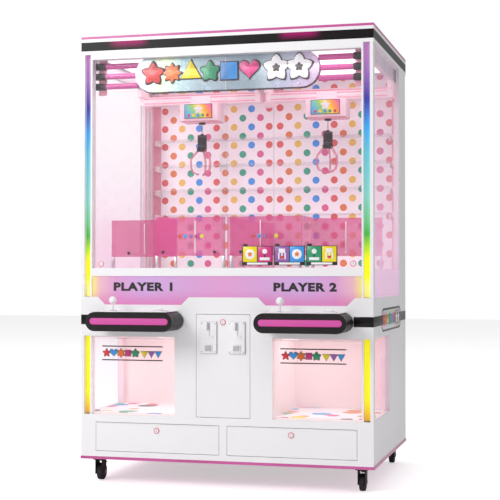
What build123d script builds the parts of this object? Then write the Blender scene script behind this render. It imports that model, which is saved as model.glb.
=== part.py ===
from build123d import *
import math
import os

os.makedirs("parts", exist_ok=True)

# Two-player claw crane machine. Millimetres, +Z up, front towards -Y.
# Origin: centre of the footprint (control housings included), on the floor.

# --- overall ---------------------------------------------------------------
cabinet_width = 1330.0
cabinet_depth = 980.0
cabinet_height = 2000.0
housing_reach = 165.0

half_width = cabinet_width / 2
front_y = housing_reach - (cabinet_depth + housing_reach) / 2
rear_y = front_y + cabinet_depth

# --- sheet and clearances ----------------------------------------------------
board = 15.0
liner = 5.0
pane = 6.0
skin_inset = 3.0
pivot_gap = 0.1
slide_gap = 0.3
door_gap = 2.0

skin_x = half_width - skin_inset
side_x = skin_x - board
board_y = front_y + board
rear_skin_y = rear_y - skin_inset

# --- levels ------------------------------------------------------------------
caster_height = 105.0
tray_top = caster_height + 13.0
prize_floor = 309.0
prize_sill = prize_floor - 4.0
console_bottom = 656.0
console_top = 830.0
sill_bottom = 923.0
sill_top = 959.0
deck_top = 950.0
roof_bottom = cabinet_height - 80.0
roof_band_bottom = roof_bottom + 15.0
roof_band_top = roof_bottom + 55.0
roof_band_depth = 12.0

# --- front frame and light strips ---------------------------------------------
post_width = 50.0
post_depth = 42.0
strip_width = 28.0
strip_thickness = 6.0
strip_recess = 26.0
strip_x = skin_x - 28.0
post_x = skin_x - post_width
post_back_y = front_y + post_depth
top_rail_height = 24.0
groove_depth = 8.0
right_track_y = front_y + 8.0
left_track_y = front_y + 20.0
window_overlap = 15.0

# --- sides ---------------------------------------------------------------------
prize_back_y = front_y + 456.0
rear_section_depth = 206.0
rear_bay_depth = 50.0
rear_section_y = rear_y - rear_section_depth
back_wall_y = rear_y - rear_bay_depth
back_wall_thickness = 12.0

# --- lower front ---------------------------------------------------------------
column_half_width = 222.0
service_door_width = 571.0
service_door_height = 126.0
service_door_x = 304.5
service_door_bottom = 144.0
coin_door_width = 242.0
coin_door_top = 755.0
door_thickness = 12.0
door_pivot_inset = 9.0
door_pin_radius = 3.0
door_pin_reach = 5.0
flap_pin_radius = 2.5
flap_pivot_drop = 8.0
flap_front_y = front_y + 6.0

# --- coin plates ---------------------------------------------------------------
coin_plate_width = 72.0
coin_plate_height = 138.0
coin_plate_depth = 8.0
coin_plate_x = 64.0
coin_plate_z = 655.0
coin_slot_width = 3.0
coin_slot_height = 28.0
lever_pivot_drop = 4.0
lever_pin_radius = 3.0
lever_thickness = 4.0

# --- console -------------------------------------------------------------------
notch_x = 370.0
notch_top_width = 426.0
notch_bottom_width = 358.0
notch_depth = 34.0
fascia_recess = 4.0
housing_x = 378.0
housing_half_width = 198.0
housing_bottom = 684.0
housing_height = 83.0
housing_top = housing_bottom + housing_height
light_bar_length = 360.0
light_bar_height = 30.0
light_bar_recess = 5.0
light_bar_z = housing_bottom + 43.0

# --- joystick and button -------------------------------------------------------
stick_offset = -103.0
button_offset = 110.0
controls_y = front_y - 80.0
stick_pivot_z = housing_top - 12.0
ball_radius = 17.5
ball_z = 817.0
shaft_radius = 4.0
gimbal_outer = 15.0
gimbal_inner = 10.0
gimbal_height = 8.0
trunnion_radius = 2.0
well_radius = 26.0
well_depth = 34.0
button_radius = 20.0
button_depth = 15.0
button_rise = 14.0
button_well_depth = 24.0

# --- playfield -----------------------------------------------------------------
deck_thickness = 15.0
chute_x = 335.0
chute_back_y = front_y + 333.0
fence_sheet = 5.0
fence_bottom = 1013.0
fence_top = 1186.0
fence_post = 12.0
front_fence_y = front_y + 75.0
fence_x = chute_x - fence_post / 2
fence_y = chute_back_y + fence_post / 2
shelf_levels = [1227.0, 1355.0, 1481.0, 1613.0]
shelf_half_width = 600.0
shelf_depth = 67.0

# --- sign ----------------------------------------------------------------------
sign_width = 842.0
sign_height = 162.0
sign_thickness = 22.0
sign_z = 1827.0
sign_y = post_back_y
lug_x = 215.0
lug_width = 30.0
tube_radius = 13.0
tube_spacing = 45.5
tube_y = sign_y + sign_thickness - 2.0

# --- cranes --------------------------------------------------------------------
crane_x = 320.0
crane_rear_room = 198.0
crane_y = back_wall_y - crane_rear_room
rail_width = 20.0
rail_height = 60.0
rail_inner_x = 24.0
rail_outer_x = 630.0
rail_front_y = front_y + 88.0
beam_depth = 50.0
beam_height = 40.0
beam_bottom = 1780.0
truck_depth = 120.0
carriage_width = 200.0
carriage_depth = 122.0
carriage_bottom = 1692.0
cheek_thickness = 6.0
cheek_height = 36.0
cable_radius = 1.5
head_radius = 23.0
head_top = 1624.0
head_bottom = 1560.0
hub_radius = 10.0
claw_pivot_z = 1548.0
claw_pivot_radius = 20.0
claw_pin_radius = 3.0
finger_width = 8.0
ear_thickness = 3.0
finger_count = 3

# --- casters -------------------------------------------------------------------
caster_x = 600.0
caster_inset_y = 70.0
wheel_radius = 37.5
wheel_width = 24.0
caster_trail = 25.0
fork_gap = 1.5
fork_leg = 4.0
fork_disc_radius = 30.0
fork_disc_bottom = 94.0
stem_radius = 5.0
stem_height = 9.0
axle_radius = 4.0

# --- electrics -----------------------------------------------------------------
unit_width = 260.0
unit_depth = 120.0
unit_height = 180.0
inlet_x = 500.0
inlet_z = 200.0
inlet_width = 48.0
inlet_height = 28.0
inlet_flange = 7.0


def block(x0, x1, y0, y1, z0, z1):
    """A box between two corners."""
    centre = Pos((x0 + x1) / 2, (y0 + y1) / 2, (z0 + z1) / 2)
    return centre * Box(x1 - x0, y1 - y0, z1 - z0)


def rod_x(x0, x1, y, z, radius):
    return Pos((x0 + x1) / 2, y, z) * Rot(0, 90, 0) * Cylinder(radius, x1 - x0)


def rod_y(x, y0, y1, z, radius):
    return Pos(x, (y0 + y1) / 2, z) * Rot(90, 0, 0) * Cylinder(radius, y1 - y0)


def rod_z(x, y, z0, z1, radius):
    return Pos(x, y, (z0 + z1) / 2) * Cylinder(radius, z1 - z0)


def front_outline(points, y0, y1):
    """A closed outline of (x, z) points, as a solid from y0 to y1."""
    face = make_face(Polyline(*[(x, y1, z) for x, z in points], close=True))
    return extrude(face, amount=y1 - y0, dir=(0, -1, 0))


def front_slot(x, z, width, height, y0, y1):
    """A round-ended bar seen from the front, from y0 to y1."""
    face = Plane(origin=(x, y1, z), x_dir=(1, 0, 0), z_dir=(0, -1, 0)) * SlotOverall(width, height)
    return extrude(face, amount=y1 - y0)


def other_side(shape):
    return mirror(shape, about=Plane.YZ)


def save(node, *pieces):
    solids = []
    for piece in pieces:
        solids.extend(piece.solids())
    shape = solids[0] if len(solids) == 1 else Compound(solids)
    export_step(shape, f"parts/{node}.step")


# --- base and lower front ------------------------------------------------------

def caster_places():
    near = front_y + caster_inset_y
    far = rear_y - caster_inset_y
    return {
        "front_left": (-caster_x, near),
        "front_right": (caster_x, near),
        "rear_left": (-caster_x, far),
        "rear_right": (caster_x, far),
    }


def base_tray():
    tray = block(-half_width, half_width, front_y, rear_y, caster_height, tray_top)
    for x, y in caster_places().values():
        tray -= rod_z(x, y, caster_height, caster_height + stem_height + 1, stem_radius + pivot_gap)
    return tray


def strip_groove(z0, z1):
    half = strip_width / 2 + slide_gap
    back = front_y + strip_recess + strip_thickness
    return block(strip_x - half, strip_x + half, front_y, back, z0, z1)


def front_panel():
    lower_top = prize_sill
    panel = block(-skin_x, skin_x, front_y, board_y, tray_top, lower_top)
    panel += block(-column_half_width, column_half_width, front_y, board_y, lower_top, console_bottom)
    for side in (-1, 1):
        post = block(post_x, skin_x, front_y, post_back_y, lower_top, console_bottom)
        post -= strip_groove(lower_top, console_bottom)
        panel += post if side > 0 else other_side(post)
        x = side * service_door_x
        half = service_door_width / 2 + door_gap
        z0 = service_door_bottom - door_gap
        z1 = service_door_bottom + service_door_height + door_gap
        panel -= block(x - half, x + half, front_y, board_y, z0, z1)
        pin_end = half + door_pin_reach
        panel -= rod_x(x - pin_end, x + pin_end, service_pivot_y(), service_pivot_z(),
                       door_pin_radius + pivot_gap)
        inner = column_half_width - door_pin_reach
        outer = post_x + door_pin_reach
        pivot = rod_x(inner, outer, flap_pivot_y(), flap_pivot_z(), flap_pin_radius + pivot_gap)
        panel -= pivot if side > 0 else other_side(pivot)
    half = coin_door_width / 2 + door_gap
    panel -= block(-half, half, front_y, board_y, lower_top, console_bottom)
    panel -= rod_z(coin_pivot_x(), coin_pivot_y(), lower_top - door_pin_reach, lower_top,
                   door_pin_radius + pivot_gap)
    return panel


def service_pivot_y():
    return front_y + door_thickness / 2


def service_pivot_z():
    return service_door_bottom + door_pivot_inset


def service_door(side):
    x = side * service_door_x
    half = service_door_width / 2
    z1 = service_door_bottom + service_door_height
    door = block(x - half, x + half, front_y, front_y + door_thickness, service_door_bottom, z1)
    reach = half + door_pin_reach
    return door + rod_x(x - reach, x + reach, service_pivot_y(), service_pivot_z(), door_pin_radius)


def coin_pivot_x():
    return -coin_door_width / 2 + door_pivot_inset


def coin_pivot_y():
    return front_y + door_thickness / 2


def lever_place(side):
    return side * coin_plate_x, coin_plate_z + lever_pivot_drop


def coin_door():
    half = coin_door_width / 2
    bottom = prize_sill + door_gap
    door = block(-half, half, front_y, front_y + door_thickness, bottom, coin_door_top)
    door += rod_z(coin_pivot_x(), coin_pivot_y(), bottom - door_pin_reach, coin_door_top + door_pin_reach,
                  door_pin_radius)
    for side in (-1, 1):
        slot_z = coin_plate_z + coin_plate_height / 4
        door -= block(side * coin_plate_x - coin_slot_width / 2, side * coin_plate_x + coin_slot_width / 2,
                      front_y, front_y + door_thickness, slot_z, slot_z + coin_slot_height)
        x, z = lever_place(side)
        door -= rod_y(x, front_y, front_y + door_thickness / 2, z, lever_pin_radius + pivot_gap)
    return door


def coin_plate(side):
    x = side * coin_plate_x
    front = front_y - coin_plate_depth
    half_w = coin_plate_width / 2
    half_h = coin_plate_height / 2
    plate = block(x - half_w, x + half_w, front, front_y, coin_plate_z - half_h, coin_plate_z + half_h)
    plate = fillet(plate.edges().filter_by(Axis.Y), 4)
    slot_z = coin_plate_z + coin_plate_height / 4
    plate -= block(x - coin_slot_width / 2, x + coin_slot_width / 2, front, front_y,
                   slot_z, slot_z + coin_slot_height)
    px, pz = lever_place(side)
    return plate - rod_y(px, front, front_y, pz, lever_pin_radius + pivot_gap)


def reject_lever(side):
    x, z = lever_place(side)
    front = front_y - coin_plate_depth - slide_gap
    arm = block(x - 4, x + 4, front - lever_thickness, front, z, z + 26)
    foot = block(x - 4, x + 20, front - lever_thickness, front, z - 4, z + 4)
    pin = rod_y(x, front, front_y + door_thickness / 2 - 1, z, lever_pin_radius)
    return arm + foot + pin


# --- prize boxes, flaps and side panes -----------------------------------------

def flap_pivot_y():
    return flap_front_y + liner / 2


def flap_pivot_z():
    return console_bottom - flap_pivot_drop


def prize_flap():
    x0 = column_half_width + door_gap
    x1 = post_x - door_gap
    flap = block(x0, x1, flap_front_y, flap_front_y + liner, prize_floor + door_gap,
                 console_bottom - door_gap)
    return flap + rod_x(x0 - door_pin_reach, x1 + door_pin_reach, flap_pivot_y(), flap_pivot_z(),
                        flap_pin_radius)


def prize_box():
    inner = column_half_width
    deck_bottom = deck_top - deck_thickness
    ceiling = console_bottom - liner
    box = block(inner - liner, side_x, board_y, prize_back_y + liner, prize_floor - liner, prize_floor)
    box += block(inner - liner, side_x, prize_back_y, prize_back_y + liner, prize_floor, console_bottom)
    box += block(inner - liner, inner, board_y, prize_back_y + liner, prize_floor, console_bottom)
    box += block(inner, side_x, board_y, prize_back_y, ceiling, console_bottom)
    box += block(chute_x - liner, side_x, post_back_y, chute_back_y, console_bottom, deck_bottom)
    box -= block(chute_x, side_x - liner, post_back_y + liner, chute_back_y - liner, ceiling, deck_bottom)
    clear = pivot_gap
    box -= block(post_x - clear, side_x, board_y, post_back_y, prize_floor - liner, console_bottom)
    return box


def side_pane_pair():
    upper = block(skin_x - pane, skin_x, post_back_y, rear_section_y, console_top, roof_bottom)
    lower = block(skin_x - pane, skin_x, post_back_y, prize_back_y, prize_floor, console_bottom)
    return upper, lower


def side_panel():
    panel = block(side_x, skin_x, board_y, rear_skin_y, tray_top, prize_floor)
    panel -= block(side_x, skin_x, board_y, post_back_y, prize_sill, prize_floor)
    panel += block(side_x, skin_x, prize_back_y, rear_skin_y, prize_floor, console_bottom)
    return panel + block(side_x, skin_x, rear_section_y, rear_skin_y, console_bottom, roof_bottom)


# --- console -------------------------------------------------------------------

def notch_outline(side):
    top = notch_top_width / 2
    low = notch_bottom_width / 2
    x = side * notch_x
    z0 = console_top - notch_depth
    return [(x - top, console_top), (x - low, z0), (x + low, z0), (x + top, console_top)]


def console_band():
    band = block(-skin_x, skin_x, front_y, board_y, console_bottom, console_top)
    for side in (-1, 1):
        wall = block(side_x, skin_x, board_y, rear_section_y, console_bottom, console_top)
        band += wall if side > 0 else other_side(wall)
        band -= front_outline(notch_outline(side), front_y, board_y)
    half = coin_door_width / 2 + door_gap
    band -= block(-half, half, front_y, board_y, console_bottom, coin_door_top + door_gap)
    return band - rod_z(coin_pivot_x(), coin_pivot_y(), coin_door_top, coin_door_top + door_pin_reach + 1,
                        door_pin_radius + pivot_gap)


def control_housing(side):
    x = side * housing_x
    z = housing_bottom + housing_height / 2
    nose_y = front_y - housing_reach
    body = front_slot(x, z, 2 * housing_half_width, housing_height, nose_y, front_y)
    body -= front_slot(x, light_bar_z, light_bar_length, light_bar_height, nose_y,
                       nose_y + light_bar_recess)
    stick = x + stick_offset
    body -= rod_z(stick, controls_y, housing_top - well_depth, housing_top, well_radius)
    reach = well_radius + 4
    body -= rod_x(stick - reach, stick + reach, controls_y, stick_pivot_z, trunnion_radius + pivot_gap)
    return body - rod_z(x + button_offset, controls_y, housing_top - button_well_depth, housing_top,
                        button_radius + slide_gap)


def gimbal(side):
    x = side * housing_x + stick_offset
    low = stick_pivot_z - gimbal_height / 2
    high = stick_pivot_z + gimbal_height / 2
    reach = well_radius + 3
    ring = rod_z(x, controls_y, low, high, gimbal_outer)
    ring += rod_x(x - reach, x + reach, controls_y, stick_pivot_z, trunnion_radius)
    ring -= rod_z(x, controls_y, low, high, gimbal_inner)
    return ring - rod_y(x, controls_y - gimbal_outer, controls_y + gimbal_outer, stick_pivot_z,
                        trunnion_radius + pivot_gap)


def joystick(side):
    x = side * housing_x + stick_offset
    stick = rod_z(x, controls_y, stick_pivot_z - 2 * shaft_radius, ball_z, shaft_radius)
    stick += Pos(x, controls_y, ball_z) * Sphere(ball_radius)
    reach = gimbal_outer - 1
    return stick + rod_y(x, controls_y - reach, controls_y + reach, stick_pivot_z, trunnion_radius)


def push_button(side):
    x = side * housing_x + button_offset
    button = rod_z(x, controls_y, housing_top - button_depth, housing_top + button_rise, button_radius)
    rim = button.edges().filter_by(GeomType.CIRCLE).sort_by(Axis.Z)[-1]
    return fillet(rim, button_rise / 2)


def fascia():
    y0 = front_y + fascia_recess
    sheet = block(-post_x, post_x, y0, y0 + pane, console_top, sill_bottom)
    for side in (-1, 1):
        sheet += front_outline(notch_outline(side), y0, y0 + pane)
    return sheet


# --- front frame, windows and light strips -------------------------------------

def track_groove(track_y, z0, z1):
    return block(-post_x, post_x, track_y - slide_gap, track_y + pane + slide_gap, z0, z1)


def front_frame():
    rail_bottom = roof_bottom - top_rail_height
    frame = block(-post_x, post_x, front_y, post_back_y, sill_bottom, sill_top)
    frame += block(-post_x, post_x, front_y, post_back_y, rail_bottom, roof_bottom)
    for track_y in (right_track_y, left_track_y):
        frame -= track_groove(track_y, sill_top - groove_depth - slide_gap, sill_top)
        frame -= track_groove(track_y, rail_bottom, rail_bottom + 2 * groove_depth)
    post = block(post_x, skin_x, front_y, post_back_y, console_top, roof_bottom)
    post -= strip_groove(console_top, roof_bottom)
    return frame + post + other_side(post)


def window(side):
    track_y = right_track_y if side > 0 else left_track_y
    edges = sorted([-side * window_overlap, side * (post_x - slide_gap)])
    top = roof_bottom - top_rail_height + 1.5 * groove_depth
    return block(edges[0], edges[1], track_y, track_y + pane, sill_top - groove_depth, top)


def light_strips():
    y0 = front_y + strip_recess
    strips = []
    for z0, z1 in ((prize_floor, console_bottom - door_gap), (console_top + door_gap, roof_bottom - door_gap)):
        strip = block(strip_x - strip_width / 2, strip_x + strip_width / 2, y0, y0 + strip_thickness, z0, z1)
        strips += [strip, other_side(strip)]
    return strips


# --- playfield -----------------------------------------------------------------

def play_deck():
    low = deck_top - deck_thickness
    deck = block(-side_x, side_x, chute_back_y, back_wall_y + back_wall_thickness, low, deck_top)
    return deck + block(-chute_x, chute_x, post_back_y, chute_back_y, low, deck_top)


def fence():
    half = fence_sheet / 2
    inner = fence_post
    sheet = block(fence_x, side_x, fence_y - half, fence_y + half, fence_bottom, fence_top)
    sheet += block(fence_x - half, fence_x + half, front_fence_y, fence_y, fence_bottom, fence_top)
    sheet += block(inner, fence_x, front_fence_y - half, front_fence_y + half, fence_bottom, fence_top)
    places = [(fence_x, fence_y), (side_x - fence_post / 2, fence_y), (fence_x, front_fence_y),
              (inner + fence_post / 2, front_fence_y)]
    for x, y in places:
        reach = fence_post / 2
        sheet += block(x - reach, x + reach, y - reach, y + reach, deck_top, fence_top)
    return sheet


def divider():
    half = fence_sheet / 2
    return block(-half, half, front_fence_y, back_wall_y, deck_top, fence_top)


def shelf(level):
    return block(-shelf_half_width, shelf_half_width, back_wall_y - shelf_depth, back_wall_y,
                 level, level + pane)


def back_wall():
    return block(-side_x, side_x, back_wall_y, back_wall_y + back_wall_thickness, deck_top, roof_bottom)


def rear_panel():
    panel = block(-side_x, side_x, rear_skin_y - board, rear_skin_y, tray_top, roof_bottom)
    half_w = inlet_width / 2
    half_h = inlet_height / 2
    return panel - block(inlet_x - half_w, inlet_x + half_w, rear_skin_y - board, rear_skin_y,
                         inlet_z - half_h, inlet_z + half_h)


def power_inlet():
    half_w = inlet_width / 2 - slide_gap
    half_h = inlet_height / 2 - slide_gap
    body = block(inlet_x - half_w, inlet_x + half_w, rear_skin_y - 2 * board, rear_skin_y,
                 inlet_z - half_h, inlet_z + half_h)
    body += block(inlet_x - half_w - inlet_flange, inlet_x + half_w + inlet_flange, rear_skin_y,
                  rear_skin_y + 2, inlet_z - half_h - inlet_flange, inlet_z + half_h + inlet_flange)
    wall = 4
    return body - block(inlet_x - half_w + wall, inlet_x + half_w - wall, rear_skin_y - board,
                        rear_skin_y + 2, inlet_z - half_h + wall, inlet_z + half_h - wall)


def control_unit():
    half = unit_width / 2
    y1 = rear_skin_y - board
    case = block(-half, half, y1 - unit_depth, y1, tray_top, tray_top + unit_height)
    return fillet(case.edges().filter_by(Axis.Z), 6)


# --- roof and sign -------------------------------------------------------------

def roof_core(z0, z1):
    inset = roof_band_depth
    return block(-half_width + inset, half_width - inset, front_y + inset, rear_y - inset, z0, z1)


def roof_cap():
    cap = block(-half_width, half_width, front_y, rear_y, roof_bottom, roof_band_bottom)
    cap += roof_core(roof_band_bottom, roof_band_top)
    return cap + block(-half_width, half_width, front_y, rear_y, roof_band_top, cabinet_height)


def roof_band():
    ring = block(-half_width, half_width, front_y, rear_y, roof_band_bottom, roof_band_top)
    return ring - roof_core(roof_band_bottom, roof_band_top)


def marquee_sign():
    sign = front_slot(0, sign_z, sign_width, sign_height, sign_y, sign_y + sign_thickness)
    for side in (-1, 1):
        x = side * lug_x
        sign += block(x - lug_width / 2, x + lug_width / 2, sign_y + 6, sign_y + 16,
                      sign_z + sign_height / 2 - 4, roof_bottom)
    return sign


def light_tubes():
    tubes = []
    end_radius = sign_height / 2
    for row in (-1, 0, 1):
        near = max(abs(row) * tube_spacing - tube_radius, 0)
        start = sign_width / 2 - end_radius + math.sqrt(end_radius ** 2 - near ** 2) + slide_gap
        tube = rod_x(start, post_x, tube_y, sign_z + row * tube_spacing, tube_radius)
        tubes += [tube, other_side(tube)]
    return tubes


# --- cranes --------------------------------------------------------------------

def gantry_rails():
    rails = []
    for x in (rail_inner_x, rail_outer_x):
        rail = block(x - rail_width / 2, x + rail_width / 2, rail_front_y, back_wall_y,
                     roof_bottom - rail_height, roof_bottom)
        rails += [rail, other_side(rail)]
    return rails


def bridge():
    x0 = rail_inner_x - rail_width / 2
    x1 = rail_outer_x + rail_width / 2
    half = beam_depth / 2
    top = roof_bottom - rail_height - slide_gap
    beam = block(x0, x1, crane_y - half, crane_y + half, beam_bottom, beam_bottom + beam_height)
    for start in (x0, x1 - rail_width):
        beam += block(start, start + rail_width, crane_y - truck_depth / 2, crane_y + truck_depth / 2,
                      beam_bottom + beam_height, top)
    return beam


def carriage():
    half_w = carriage_width / 2
    half_d = carriage_depth / 2
    top = beam_bottom - slide_gap
    box = block(crane_x - half_w, crane_x + half_w, crane_y - half_d, crane_y + half_d,
                carriage_bottom, top)
    box = fillet(box.edges().filter_by(Axis.Z), 6)
    for side in (-1, 1):
        edge = crane_y + side * (beam_depth / 2 + slide_gap)
        y0, y1 = sorted([edge, edge + side * cheek_thickness])
        box += block(crane_x - half_w / 2, crane_x + half_w / 2, y0, y1, top, top + cheek_height)
    return box


def hoist_cable():
    return rod_z(crane_x, crane_y, head_top, carriage_bottom, cable_radius)


def around_claw(shape, index):
    """Turn a shape made at the crane's axis, on +X, to one claw arm's place."""
    turned = Rot(0, 0, 90 + index * 360 / finger_count) * shape
    return Pos(crane_x, crane_y, 0) * turned


def claw_head():
    head = rod_z(crane_x, crane_y, head_bottom, head_top, head_radius)
    head += rod_z(crane_x, crane_y, claw_pivot_z - 4, head_bottom, hub_radius)
    gap = finger_width / 2 + slide_gap
    for index in range(finger_count):
        for side in (-1, 1):
            y0, y1 = sorted([side * gap, side * (gap + ear_thickness)])
            ear = block(hub_radius / 2, claw_pivot_radius + 6, y0, y1, claw_pivot_z - 6, head_bottom)
            head += around_claw(ear, index)
        pin = rod_y(claw_pivot_radius, -gap - ear_thickness, gap + ear_thickness, claw_pivot_z,
                    claw_pin_radius)
        head += around_claw(pin, index)
    return head


def claw_finger(index):
    z = claw_pivot_z
    outline = [(16, z), (24, z + 4), (58, z - 36), (62, z - 52), (60, z - 90), (50, z - 112), (24, z - 124),
               (22, z - 117), (44, z - 106), (52, z - 88), (53, z - 54), (50, z - 42), (17, z - 6)]
    half = finger_width / 2
    arm = front_outline(outline, -half, half)
    arm += rod_y(claw_pivot_radius, -half, half, z, 6)
    arm -= rod_y(claw_pivot_radius, -half, half, z, claw_pin_radius + pivot_gap)
    return around_claw(arm, index)


# --- casters -------------------------------------------------------------------

def caster_fork(x, y):
    axle_y = y + caster_trail
    half = wheel_width / 2 + fork_gap
    fork = rod_z(x, y, fork_disc_bottom, caster_height - slide_gap, fork_disc_radius)
    fork += rod_z(x, y, caster_height - slide_gap, caster_height + stem_height, stem_radius)
    for side in (-1, 1):
        x0, x1 = sorted([x + side * half, x + side * (half + fork_leg)])
        fork += block(x0, x1, y - 12, axle_y + 12, wheel_radius - 8, fork_disc_bottom)
    return fork + rod_x(x - half, x + half, axle_y, wheel_radius, axle_radius)


def caster_wheel(x, y):
    axle_y = y + caster_trail
    half = wheel_width / 2
    wheel = rod_x(x - half, x + half, axle_y, wheel_radius, wheel_radius)
    wheel = fillet(wheel.edges().filter_by(GeomType.CIRCLE), 4)
    return wheel - rod_x(x - half, x + half, axle_y, wheel_radius, axle_radius + pivot_gap)


# --- write every node ----------------------------------------------------------

sides = {"left": -1, "right": 1}

save("base_tray", base_tray())
save("front_panel", front_panel())
save("side_panels", side_panel(), other_side(side_panel()))
save("console_band", console_band())
save("fascia", fascia())
save("front_frame", front_frame())
save("side_panes", *side_pane_pair(), *[other_side(sheet) for sheet in side_pane_pair()])
save("back_wall", back_wall())
save("rear_panel", rear_panel())
save("roof_cap", roof_cap())
save("roof_band", roof_band())
save("play_deck", play_deck())
save("play_fences", fence(), other_side(fence()), divider())
save("prize_boxes", prize_box(), other_side(prize_box()))
save("control_housings", *[control_housing(side) for side in sides.values()])
save("light_strips", *light_strips())
save("marquee_sign", marquee_sign())
save("light_tubes", *light_tubes())
save("prize_shelves", *[shelf(level) for level in shelf_levels])
save("gantry_rails", *gantry_rails())
save("control_unit", control_unit())
save("power_inlet", power_inlet())
save("coin_door", coin_door())
save("coin_plates", *[coin_plate(side) for side in sides.values()])

right_crane = {"bridge": bridge(), "carriage": carriage(), "hoist_cable": hoist_cable(),
               "claw_head": claw_head()}
for finger in range(finger_count):
    right_crane[f"claw_arm_{finger + 1}"] = claw_finger(finger)

for name, side in sides.items():
    save(f"window_{name}", window(side))
    save(f"reject_lever_{name}", reject_lever(side))
    save(f"service_door_{name}", service_door(side))
    save(f"prize_flap_{name}", prize_flap() if side > 0 else other_side(prize_flap()))
    save(f"joystick_gimbal_{name}", gimbal(side))
    save(f"joystick_{name}", joystick(side))
    save(f"push_button_{name}", push_button(side))
    for node, shape in right_crane.items():
        save(f"{node}_{name}", shape if side > 0 else other_side(shape))

for name, (x, y) in caster_places().items():
    save(f"caster_fork_{name}", caster_fork(x, y))
    save(f"caster_wheel_{name}", caster_wheel(x, y))
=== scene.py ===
import bpy
import math
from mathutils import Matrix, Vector


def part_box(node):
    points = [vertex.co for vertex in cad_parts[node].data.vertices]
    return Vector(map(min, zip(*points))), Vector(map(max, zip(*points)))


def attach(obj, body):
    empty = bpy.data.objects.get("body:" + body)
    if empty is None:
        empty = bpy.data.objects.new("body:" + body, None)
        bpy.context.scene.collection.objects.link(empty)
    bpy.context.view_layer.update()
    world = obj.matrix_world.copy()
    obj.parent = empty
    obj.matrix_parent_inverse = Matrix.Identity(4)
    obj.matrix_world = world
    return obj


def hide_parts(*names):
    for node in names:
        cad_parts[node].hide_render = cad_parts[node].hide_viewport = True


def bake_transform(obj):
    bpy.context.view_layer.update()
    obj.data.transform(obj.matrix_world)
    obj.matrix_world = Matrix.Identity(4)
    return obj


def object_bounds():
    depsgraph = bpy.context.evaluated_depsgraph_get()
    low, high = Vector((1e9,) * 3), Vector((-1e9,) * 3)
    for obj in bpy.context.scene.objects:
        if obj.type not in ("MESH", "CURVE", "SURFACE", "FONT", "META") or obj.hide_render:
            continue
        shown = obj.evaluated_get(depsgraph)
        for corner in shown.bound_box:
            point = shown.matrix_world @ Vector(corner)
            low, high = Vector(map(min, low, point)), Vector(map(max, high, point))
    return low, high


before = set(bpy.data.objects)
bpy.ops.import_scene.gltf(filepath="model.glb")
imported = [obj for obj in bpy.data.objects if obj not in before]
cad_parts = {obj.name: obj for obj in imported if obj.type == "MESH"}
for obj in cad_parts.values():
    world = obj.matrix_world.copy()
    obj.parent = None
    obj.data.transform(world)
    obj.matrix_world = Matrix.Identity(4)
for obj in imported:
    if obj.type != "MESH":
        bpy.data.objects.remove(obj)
cad_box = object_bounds()

# A two-player claw crane machine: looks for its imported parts. Metres, +Z up, front towards -Y.

MM = 0.001
SIDES = {"left": -1, "right": 1}
BODY = "cabinet"


# --- colour and nodes ----------------------------------------------------------

def srgb(code, alpha=1.0):
    """A #rrggbb value as linear light."""
    values = [int(code[i:i + 2], 16) / 255 for i in (1, 3, 5)]
    linear = [v / 12.92 if v <= 0.04045 else ((v + 0.055) / 1.055) ** 2.4 for v in values]
    return (*linear, alpha)


def add(tree, kind, settings=None, inputs=None):
    """A node with its settings. Each input is set, or linked to a socket or to a node's first output."""
    made = tree.nodes.new(kind)
    for key, value in (settings or {}).items():
        setattr(made, key, value)
    for key, value in (inputs or {}).items():
        if isinstance(value, bpy.types.Node):
            value = value.outputs[0]
        if isinstance(value, bpy.types.NodeSocket):
            tree.links.new(value, made.inputs[key])
        else:
            made.inputs[key].default_value = value
    return made


def material(name, colour, roughness, **sockets):
    """A Principled material, with its Object coordinates. Colours are hex."""
    made = bpy.data.materials.new(name)
    made.use_nodes = True
    tree = made.node_tree
    shader = tree.nodes["Principled BSDF"]
    shader.inputs["Base Color"].default_value = srgb(colour)
    shader.inputs["Roughness"].default_value = roughness
    for key, value in sockets.items():
        shader.inputs[key.replace("_", " ")].default_value = value
    place = add(tree, "ShaderNodeTexCoord").outputs["Object"]
    return made, tree, shader, place


def grain(tree, shader, place, size_mm, height_mm, strength, stretch=(1, 1, 1)):
    """Surface relief from noise of one grain size."""
    turned = add(tree, "ShaderNodeMapping", None, {"Vector": place, "Scale": stretch})
    noise = add(tree, "ShaderNodeTexNoise", None,
                {"Vector": turned, "Scale": 1000 / size_mm, "Detail": 3.0})
    relief = add(tree, "ShaderNodeBump", None,
                 {"Height": noise, "Distance": height_mm * MM, "Strength": strength})
    tree.links.new(relief.outputs[0], shader.inputs["Normal"])


def uneven(tree, shader, place, socket, low, high, size_mm):
    """A number that drifts between two values over the surface."""
    noise = add(tree, "ShaderNodeTexNoise", None, {"Vector": place, "Scale": 1000 / size_mm, "Detail": 4.0})
    spread = add(tree, "ShaderNodeMapRange", None,
                 {"Value": noise, "From Min": 0.3, "From Max": 0.7, "To Min": low, "To Max": high})
    tree.links.new(spread.outputs[0], shader.inputs[socket])


def tinted(tree, shader, place, colour_a, colour_b, size_mm, low=0.35, high=0.65):
    """Two close tones of a colour, in soft patches."""
    noise = add(tree, "ShaderNodeTexNoise", None, {"Vector": place, "Scale": 1000 / size_mm, "Detail": 5.0})
    spread = add(tree, "ShaderNodeMapRange", None,
                 {"Value": noise, "From Min": low, "From Max": high})
    mix = add(tree, "ShaderNodeMix", {"data_type": "RGBA"},
              {"Factor": spread, 6: srgb(colour_a), 7: srgb(colour_b)})
    tree.links.new(mix.outputs[2], shader.inputs["Base Color"])
    return mix.outputs[2]


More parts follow.
